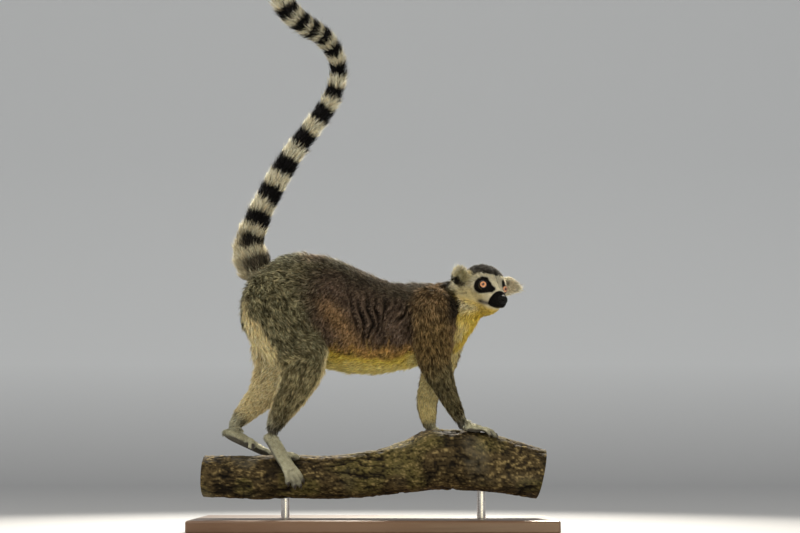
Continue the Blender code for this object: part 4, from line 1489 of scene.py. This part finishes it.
# %% Down of face, ears and paws
def down_length(place, up):
    """Length of the down: zero where the skin is bare."""
    local = place["head"]
    on_head = place["part"] == PARTS.index("head")
    length = np.where(on_head & (local[:, 0] > 0.008), 0.0046 - 0.0026 * rise(0.014, 0.040, local[:, 0]), 0)
    for side, word in SIDES:
        oval, facing, _, _ = eye_oval(local, side)
        from_eye = lengths(local - eye_at(side))
        near = (from_eye < EYE_RADIUS + 0.006) & (facing > 0)
        length = np.where(near, length * rise(1.15, 2.1, oval), length)
        in_ear = (place["part"] == PARTS.index("ear_" + word)) & (hollow_of(local, side)[0] > 0.1)
        length = np.where(in_ear, 0.0035, length)
    for limb in LIMBS:
        spot = place["spot"][PARTS[limb]]
        paw = (0.0052 - 0.0032 * rise(0.68, 0.92, spot)) * (up[:, 2] > -0.15) * (spot < 0.95)
        length = np.where((place["part"] == limb) & (spot > DOWN_FROM), paw, length)
    nose = lengths(local - to_head(middle_of("nose")[None])[0])
    mouth = np.abs(local[:, 2] - np.interp(local[:, 0], *MOUTH_LEVEL)) < 0.0007
    return np.where((nose < 0.0075) | (on_head & mouth), 0, length)


skin_length = down_length(skin_place, skin_normals)
crowding = np.where(skin_length > 0, 0.0030 / np.maximum(skin_length, 0.0016), 0.0)
on_paws = skin_place["share"][:, LIMBS].sum(1)
roots, up, place, ways, rng = roots_for(DOWN, crowding * (1 - 0.45 * on_paws), 2026)
length = down_length(place, up)
width = np.interp(length, (0.0008, 0.0020, 0.0046), (0.00026, 0.00036, 0.00058)) * math.sqrt(CROWD)
colour, clump_shading = tones(markings(roots + ways * (length * 0.5)[:, None], up), place, 0.22, rng)
grown = {
    "spikes": spike_points(roots, up, ways, length, width, np.full(len(roots), 0.36), rng),
    "colour": colour, "clump_shading": clump_shading, "roots": roots, "place": place,
}
names = np.array(PARTS)[place["part"]]
for piece, parts, slot in (
    ("down_face", ("head",), "white_fur"), ("down_ears", ("ear_left", "ear_right"), "white_fur"),
    ("down_hands", ("arm_left", "arm_right"), "grey_skin"),
    ("down_feet", ("leg_left", "leg_right"), "grey_skin"),
):
    mine = np.isin(names, parts) & (length > 0.0007)
    part = parts[0] if parts[0] in LINES else "head"
    made = coat_mesh(piece, [kind_rows(grown, mine, part, SPIKE_KIND)])
    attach(made, "root")
    print(piece, "has", mine.sum(), "spikes")


# %% [markdown]
# ## Eyes
#
# An eye is a sphere with a slight bulge at the front, the cornea. Its iris isn't a separate disc: the
# material reads how far a point lies from the line of sight, and paints pupil, iris and dark rim as rings.
# A clear coat over it all makes the eye look wet.

# %% Eyeball shape
def make_eyeball(name, side):
    """A sphere round the line of sight: radius = eye's radius plus a bell-shaped bulge at the front."""
    ways = ways_round(49, 64)
    off = np.arccos(np.clip(ways[..., :1], -1, 1))
    radius = EYE_RADIUS - 0.0004 + 0.0007 * bell(off, 0.45)
    made = closed_surface(name, from_head(eye_at(side) + radius * ways @ eye_frame(side)))
    points, _ = read(made.data)
    look = (to_head(points) - eye_at(side)) @ eye_frame(side).T * 100
    layer = made.data.attributes.new("look", "FLOAT_VECTOR", "POINT")
    layer.data.foreach_set("vector", look.astype(np.float32).ravel())
    return made


# %% Iris material
def iris_material():
    """Rings of colour by the distance from the line of sight, in centimetres; fine rays cross them."""
    made, tree, shader = principled("amber_iris", 0.08, Coat_Weight=1.0, Coat_Roughness=0.02, IOR=1.38)
    nodes, join = tree.nodes, tree.links.new
    kinds = ("Attribute", "VectorMath", "VectorMath")
    look, flat, length = (nodes.new("ShaderNode" + kind) for kind in kinds)
    look.attribute_name = "look"
    flat.operation, length.operation = "MULTIPLY", "LENGTH"
    flat.inputs[1].default_value = (0, 1, 1)
    join(look.outputs["Vector"], flat.inputs[0])
    join(flat.outputs["Vector"], length.inputs[0])
    rings = ramp(tree, (
        (0.0, (0.004, 0.003, 0.003)), (0.118, (0.004, 0.003, 0.003)), (0.140, (0.150, 0.050, 0.018)),
        (0.25, (0.50, 0.19, 0.070)), (0.36, (0.72, 0.32, 0.130)), (0.425, (0.26, 0.090, 0.036)),
        (0.455, (0.008, 0.006, 0.005)), (1.0, (0.010, 0.008, 0.007)),
    ))
    join(length.outputs["Value"], rings.inputs["Fac"])
    rays, shade = nodes.new("ShaderNodeTexNoise"), nodes.new("ShaderNodeMix")
    rays.inputs["Scale"].default_value = 22
    join(flat.outputs["Vector"], rays.inputs["Vector"])
    shade.data_type, shade.blend_type = "RGBA", "MULTIPLY"
    shade.inputs["Factor"].default_value = 1.0
    join(rings.outputs["Color"], shade.inputs["A"])
    mapped(tree, rays.outputs["Fac"], shade.inputs["B"], 0.72, 1.12, span=(0.35, 0.65))
    join(shade.outputs["Result"], shader.inputs["Base Color"])
    return made


IRIS = iris_material()
for side, word in SIDES:
    eyeball = make_eyeball("eyeball_" + word, side)
    eyeball.data.materials.append(IRIS)
    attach(eyeball, "root")
    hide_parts("eye_" + word)
print("eyeballs of", round(EYE_RADIUS * 1000, 1), "mm radius")


# %% [markdown]
# ## Nose
#
# The bare end of the snout is one rounded form with a nostril on each side, curved like a comma, and a
# groove down the middle. It is a ball of points whose radius changes with the direction.

# %% Nose pad
NOSE_AT = to_head(middle_of("nose")[None])[0]
NOSE_SIZE = np.array((0.0062, 0.0074, 0.0060))


def make_nose():
    """An oval ball, pressed in at both nostrils and along the groove between them."""
    way = ways_round(61, 80)
    x, y, z = way[..., 0], way[..., 1], way[..., 2]
    size = np.ones_like(x)
    for side in (LEFT, RIGHT):
        hole = np.hypot(y * side - 0.50, (z + 0.02 + 0.5 * (y * side - 0.5)) / 0.7)
        slit = np.hypot((y * side - 0.74) / 1.3, (z - 0.10) / 0.55)
        size -= (0.30 * bell(hole, 0.17) + 0.14 * bell(slit, 0.13)) * (x > 0)
        size += 0.06 * bell(hole - 0.36, 0.12) * (x > 0)
    size -= 0.09 * bell(y, 0.07) * rise(0.35, -0.1, z) * (x > 0)
    return closed_surface("nose_pad", from_head(NOSE_AT + way * NOSE_SIZE * size[..., None] * 1.02))


nose_pad = make_nose()
NOSE_SKIN, nose_tree, nose_shader = principled(
    "nose_skin", 0.6, Specular_IOR_Level=0.07, Base_Color=(0.007, 0.0065, 0.0065, 1)
)
grained(nose_tree, nose_shader, 1400, 0.0003)
nose_pad.data.materials.append(NOSE_SKIN)
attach(nose_pad, "root")
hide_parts("nose")


# %% [markdown]
# ## Nails
#
# Fingers and toes end in small narrow nails, and the second toe of each foot has a longer one for
# grooming. Each paw has its own frame, and each digit bends down joint by joint from its root, so the end
# of its last joint says where the nail sits.

# %% Digits of the paws
HAND_DIGITS = (  # root ahead, root towards the thumb, splay in degrees, length, radius
    (0.0210, 0.0085, 16, 0.0190, 0.0036), (0.0235, 0.0030, 4, 0.0235, 0.0038),
    (0.0235, -0.0030, -7, 0.0235, 0.0038), (0.0210, -0.0085, -20, 0.0180, 0.0034),
    (0.0090, 0.0080, 58, 0.0180, 0.0038),
)
FOOT_DIGITS = (
    (0.0490, 0.0085, 10, 0.0190, 0.0040), (0.0515, 0.0030, 2, 0.0220, 0.0042),
    (0.0505, -0.0030, -7, 0.0210, 0.0041), (0.0470, -0.0085, -16, 0.0180, 0.0038),
    (0.0260, 0.0080, 62, 0.0270, 0.0054),
)
PAWS = (  # digits, side, place, forward, up, bend of the digits and of the thumb
    (HAND_DIGITS, RIGHT, (0.124, -0.021, 0.1445), (0.97, 0.02, -0.10), (0, 0, 1), 40, 35),
    (HAND_DIGITS, LEFT, (0.082, 0.0275, 0.1355), (0.80, 0.30, -0.40), (0.10, 0.45, 0.90), 35, 30),
    (FOOT_DIGITS, RIGHT, (-0.143, -0.030, 0.1245), (0.55, -0.22, -0.80), (0.55, -0.70, 0.45), 30, 50),
    (FOOT_DIGITS, LEFT, (-0.204, 0.021, 0.1335), (0.88, -0.05, -0.42), (0.35, 0.25, 0.90), 25, 45),
)


def tip_frame(side, digit, curl):
    """End of a digit in its paw's frame, with the directions ahead, across and up there.

    The joints bend by -6 degrees, half the curl and the curl; each is the length over 2.8 long."""
    ahead, inward, splay, length, _ = digit
    bends = np.radians(np.linspace(-6, curl, 3))
    reach = length / 2.8 * np.array((np.cos(bends).sum(), 0, -np.sin(bends).sum()))
    turn = math.radians(-side * splay)
    spin = np.array(((math.cos(turn), math.sin(turn), 0), (-math.sin(turn), math.cos(turn), 0), (0, 0, 1)))
    on = np.array((math.cos(bends[-1]), 0, -math.sin(bends[-1]))) @ spin
    across = np.array((0, 1.0, 0)) @ spin
    root = np.array((ahead, -side * inward, -0.001))
    return root + reach @ spin, np.stack([on, across, np.cross(on, across)])


def nail_points(radius, reach):
    """A nail as rings in the tip's frame: an oval that narrows to a blunt point and bends down."""
    t = np.linspace(0, 1, 9)[:, None]
    turn = np.arange(12)[None, :] * 2 * math.pi / 12
    wide = 0.62 * radius * (1 - t**2.2) * rise(-0.15, 0.12, t)
    x = radius * (-0.55 + reach * t)
    y = wide * np.cos(turn)
    z = radius * (0.80 - 0.62 * t**2) - 0.0004 * np.cos(2 * turn) * (1 - t) + 0.30 * wide * np.sin(turn)
    return np.stack(np.broadcast_arrays(x, y, z), axis=-1)


NAIL_REACH, GROOMING_REACH = 1.9, 2.5  # over the digit's radius; the second toe's nail is longer
nail_rings, nail_faces = [], []
for digits, side, place, forward, up, curl, thumb_curl in PAWS:
    ahead = unit(np.array(forward))
    across = unit(np.cross(up, ahead))
    paw = np.stack([ahead, across, np.cross(ahead, across)])
    for number, digit in enumerate(digits):
        end, frame_there = tip_frame(side, digit, thumb_curl if number == 4 else curl)
        reach = GROOMING_REACH if digits is FOOT_DIGITS and number == 0 else NAIL_REACH
        nail = (end + nail_points(digit[4], reach) @ frame_there) @ paw + place
        nail_faces += grid_faces(*nail.shape[:2], around=True, start=len(nail_rings) * nail[..., 0].size)
        nail_rings.append(nail.reshape(-1, 3))
nails = new_mesh("nails", np.vstack(nail_rings), nail_faces)
with edited(nails.data) as shape:
    bmesh.ops.remove_doubles(shape, verts=shape.verts, dist=1e-6)
    bmesh.ops.holes_fill(shape, edges=shape.edges, sides=0)
    bmesh.ops.recalc_face_normals(shape, faces=shape.faces)
nails.data.shade_smooth()
NAIL, nail_tree, nail_shader = principled(
    "nail_horn", 0.36, Coat_Weight=0.2, Coat_Roughness=0.3, Base_Color=(0.030, 0.025, 0.021, 1)
)
grained(nail_tree, nail_shader, 1600, 0.0002, stretch=(0.4, 1, 1))
nails.data.materials.append(NAIL)
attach(nails, "root")
print(len(nail_rings), "nails")


# %% [markdown]
# ## The branch
#
# The solid branch is a ring of thirteen sides, repeated. Its corners are read back, and smooth curves
# through them, both along and around, give a fine surface that still passes through every corner, so the
# hands and feet stay on it. Furrows are where a noise stretched along the branch passes through zero.

# %% Corners of the solid branch
def rings_of(name, sides):
    """The node's corner points as rings, from its low end in X, each ring sorted by angle."""
    points, _ = read(NODES[name].data)
    points = np.unique(points.round(6), axis=0)
    points = points[np.argsort(points[:, 0])]
    rings = points[: len(points) // sides * sides].reshape(-1, sides, 3)
    away = rings - rings.mean(1, keepdims=True)
    order = np.argsort(np.arctan2(away[..., 2], away[..., 1]), axis=1)
    return np.take_along_axis(rings, order[..., None], axis=1), len(points)


BRANCH_SIDES = 13
branch_rings, found = rings_of("perch_branch", BRANCH_SIDES)
print("branch has", found, "corners in", len(branch_rings), "rings")


def refined(rings, along, around):
    """Smooth curves through the rings along the branch, then through each ring, which closes on itself."""
    count, sides = rings.shape[:2]
    lines = spline(rings.reshape(count, -1), np.linspace(0, 1, along)).reshape(along, sides, 3)
    lapped = np.concatenate([lines[:, -2:], lines, lines[:, :3]], axis=1)
    shares = (np.arange(around) / around * sides + 2) / (sides + 4)
    fine = spline(lapped.transpose(1, 0, 2).reshape(sides + 5, -1), shares)
    return fine.reshape(around, along, 3).transpose(1, 0, 2)


# %% Bark
FURROW, PLATE, WORN = (0.008, 0.0055, 0.0025), (0.080, 0.056, 0.024), (0.32, 0.24, 0.105)
MOSS, LICHEN = (0.115, 0.100, 0.030), (0.115, 0.105, 0.078)
HEARTWOOD, YEAR_RING, RIM = (0.33, 0.225, 0.120), (0.20, 0.125, 0.062), (0.05, 0.036, 0.022)


def bark_relief(points):
    """Height of the bark: furrows along zero lines of a long noise, plates between them, fine grit."""
    long = points * (0.30, 1, 1)
    bend = np.stack([noise(points, 0.022, 31 + k) for k in range(3)], axis=1) * 0.0035
    broken = rise(-0.55, 0.25, noise(points, 0.026, 45))
    furrow = bell(noise(long + bend, 0.0095, 41), 0.15) * broken
    crack = bell(noise(long * (1.3, 1, 1) + bend, 0.0040, 42), 0.20) * (0.4 + 0.6 * broken)
    plate = noise(long, 0.012, 43)
    grit = 0.6 * noise(points * (0.5, 1, 1), 0.0030, 44) + 0.6 * noise(points * (0.6, 1, 1), 0.0014, 46)
    height = 0.0010 * plate + 0.0005 * grit - 0.0024 * furrow - 0.0011 * crack
    return height, np.clip(1 - 0.9 * furrow - 0.55 * crack, 0, 1), plate, grit


def bark_colour(ridge, plate, grit, points):
    """Dark in the furrows, dark brown on the plates, with pale worn specks and mossy, greyer patches."""
    moss = rise(0.0, 0.5, noise(points, 0.030, 48)) * ridge
    colour = painted(
        FURROW, (PLATE, ridge * (0.70 + 0.30 * plate)), (MOSS, 0.55 * moss),
        (WORN, rise(0.15, 0.80, grit) * ridge * 0.75),
    )
    colour = colour * (1 - 0.80 * rise(0.05, -0.50, grit))[:, None]
    grey = rise(0.1, 0.6, noise(points, 0.035, 47)) * ridge
    return mix(colour, LICHEN, 0.35 * grey)


def sawn_end(ring, rings=30):
    """A cut end and its colours: the rim shrunk in steps to the heart, with the rings of the years."""
    shrink = np.linspace(0.97, 0, rings)
    cap = ring.mean(0) + (ring - ring.mean(0)) * shrink[:, None, None]
    flat = cap.reshape(-1, 3)
    step = shrink.repeat(len(ring))
    years = 0.5 + 0.5 * np.sin(34 * step + 1.8 * noise(flat, 0.012, 51))
    tint = painted(HEARTWOOD, (YEAR_RING, years * 0.8), (RIM, rise(0.88, 0.94, step)))
    return cap, tint.reshape(rings, -1, 3)


def make_branch(along=400, around=130):
    """The bark's grid with both cut ends, which shrink to the heart."""
    grid = refined(branch_rings, along, around)
    out = unit(grid - grid.mean(1, keepdims=True))
    height, ridge, plate, grit = bark_relief(grid.reshape(-1, 3))
    fade = rise(0, 6, np.arange(along)) * rise(along - 1, along - 7, np.arange(along))
    grid = grid + out * height.reshape(along, around, 1) * (0.3 + 0.7 * fade)[:, None, None]
    colour = bark_colour(ridge, plate, grit, grid.reshape(-1, 3)).reshape(along, around, 3)
    first, first_tint = sawn_end(grid[0])
    last, last_tint = sawn_end(grid[-1])
    made = closed_surface("branch_bark", np.concatenate([first[::-1], grid, last]))
    tints = np.concatenate([first_tint[::-1], colour, last_tint])
    return made, tints


branch, branch_tints = make_branch()
print("branch of", len(branch.data.vertices), "points")


# %% [markdown]
# Closing the two ends melts the first and the last ring into one point each, and keeps all other points in
# their order. So the colours skip all but one point of each of those rings.

# %% Bark colours
around = branch_tints.shape[1]
colour_attribute(branch.data, branch_tints.reshape(-1, 3)[around - 1 : 1 - around])
BARK, bark_tree, bark_shader = principled("furrowed_bark", 0.92, Specular_IOR_Level=0.15)
reads_coat(bark_tree, bark_shader)
grained(bark_tree, bark_shader, 420, 0.0007, stretch=(0.4, 1, 1), rough=(0.80, 0.95))
branch.data.materials.append(BARK)
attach(branch, "root")
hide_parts("perch_branch")


# %% [markdown]
# ## Stand
#
# The board and the rods keep their solids, because their shapes are right. The board gets long walnut
# grain, worked out from Object coordinates: rings round a far axis, bent by noise. The rods get fine
# scratches round their length.

# %% Walnut and steel
def walnut_material():
    """Grain: bands of a wave along the board, bent by noise, between two browns."""
    made, tree, shader = principled("oiled_walnut", 0.38, Coat_Weight=0.15, Coat_Roughness=0.25)
    nodes, join = tree.nodes, tree.links.new
    where, place, wave = (nodes.new("ShaderNode" + kind) for kind in ("TexCoord", "Mapping", "TexWave"))
    place.inputs["Scale"].default_value = (0.9, 9.0, 16.0)
    wave.inputs["Scale"].default_value = 1.6
    wave.inputs["Distortion"].default_value = 5.0
    wave.inputs["Detail"].default_value = 4.0
    wave.inputs["Detail Scale"].default_value = 1.2
    wave.bands_direction = "Y"
    colours = ramp(tree, ((0.0, (0.040, 0.019, 0.009)), (1.0, (0.125, 0.062, 0.030))))
    join(where.outputs["Object"], place.inputs["Vector"])
    join(place.outputs["Vector"], wave.inputs["Vector"])
    join(wave.outputs["Fac"], colours.inputs["Fac"])
    join(colours.outputs["Color"], shader.inputs["Base Color"])
    grained(tree, shader, 260, 0.0002, stretch=(0.06, 1, 1), rough=(0.32, 0.46))
    return made


def steel_material():
    """Steel with a roughness that changes in fine bands, as brushing leaves it."""
    made, tree, shader = principled("brushed_rods", 0.32, Metallic=1.0, Base_Color=(0.56, 0.56, 0.57, 1))
    grained(tree, shader, 500, 0.00006, stretch=(0.2, 0.2, 6), rough=(0.22, 0.44))
    return made


def dress(node, finish):
    """Gives a solid that stays in view a better material."""
    NODES[node].data.materials.clear()
    NODES[node].data.materials.append(finish)


STEEL = steel_material()
dress("stand_base", walnut_material())
dress("stand_rod_front", STEEL)
dress("stand_rod_rear", STEEL)
print("stand dressed in", [slot.name for slot in NODES["stand_base"].data.materials], "and", STEEL.name)

# %% The end: triangles of the shown pieces
bpy.context.view_layer.update()
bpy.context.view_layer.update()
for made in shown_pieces():
    made.data.calc_loop_triangles()
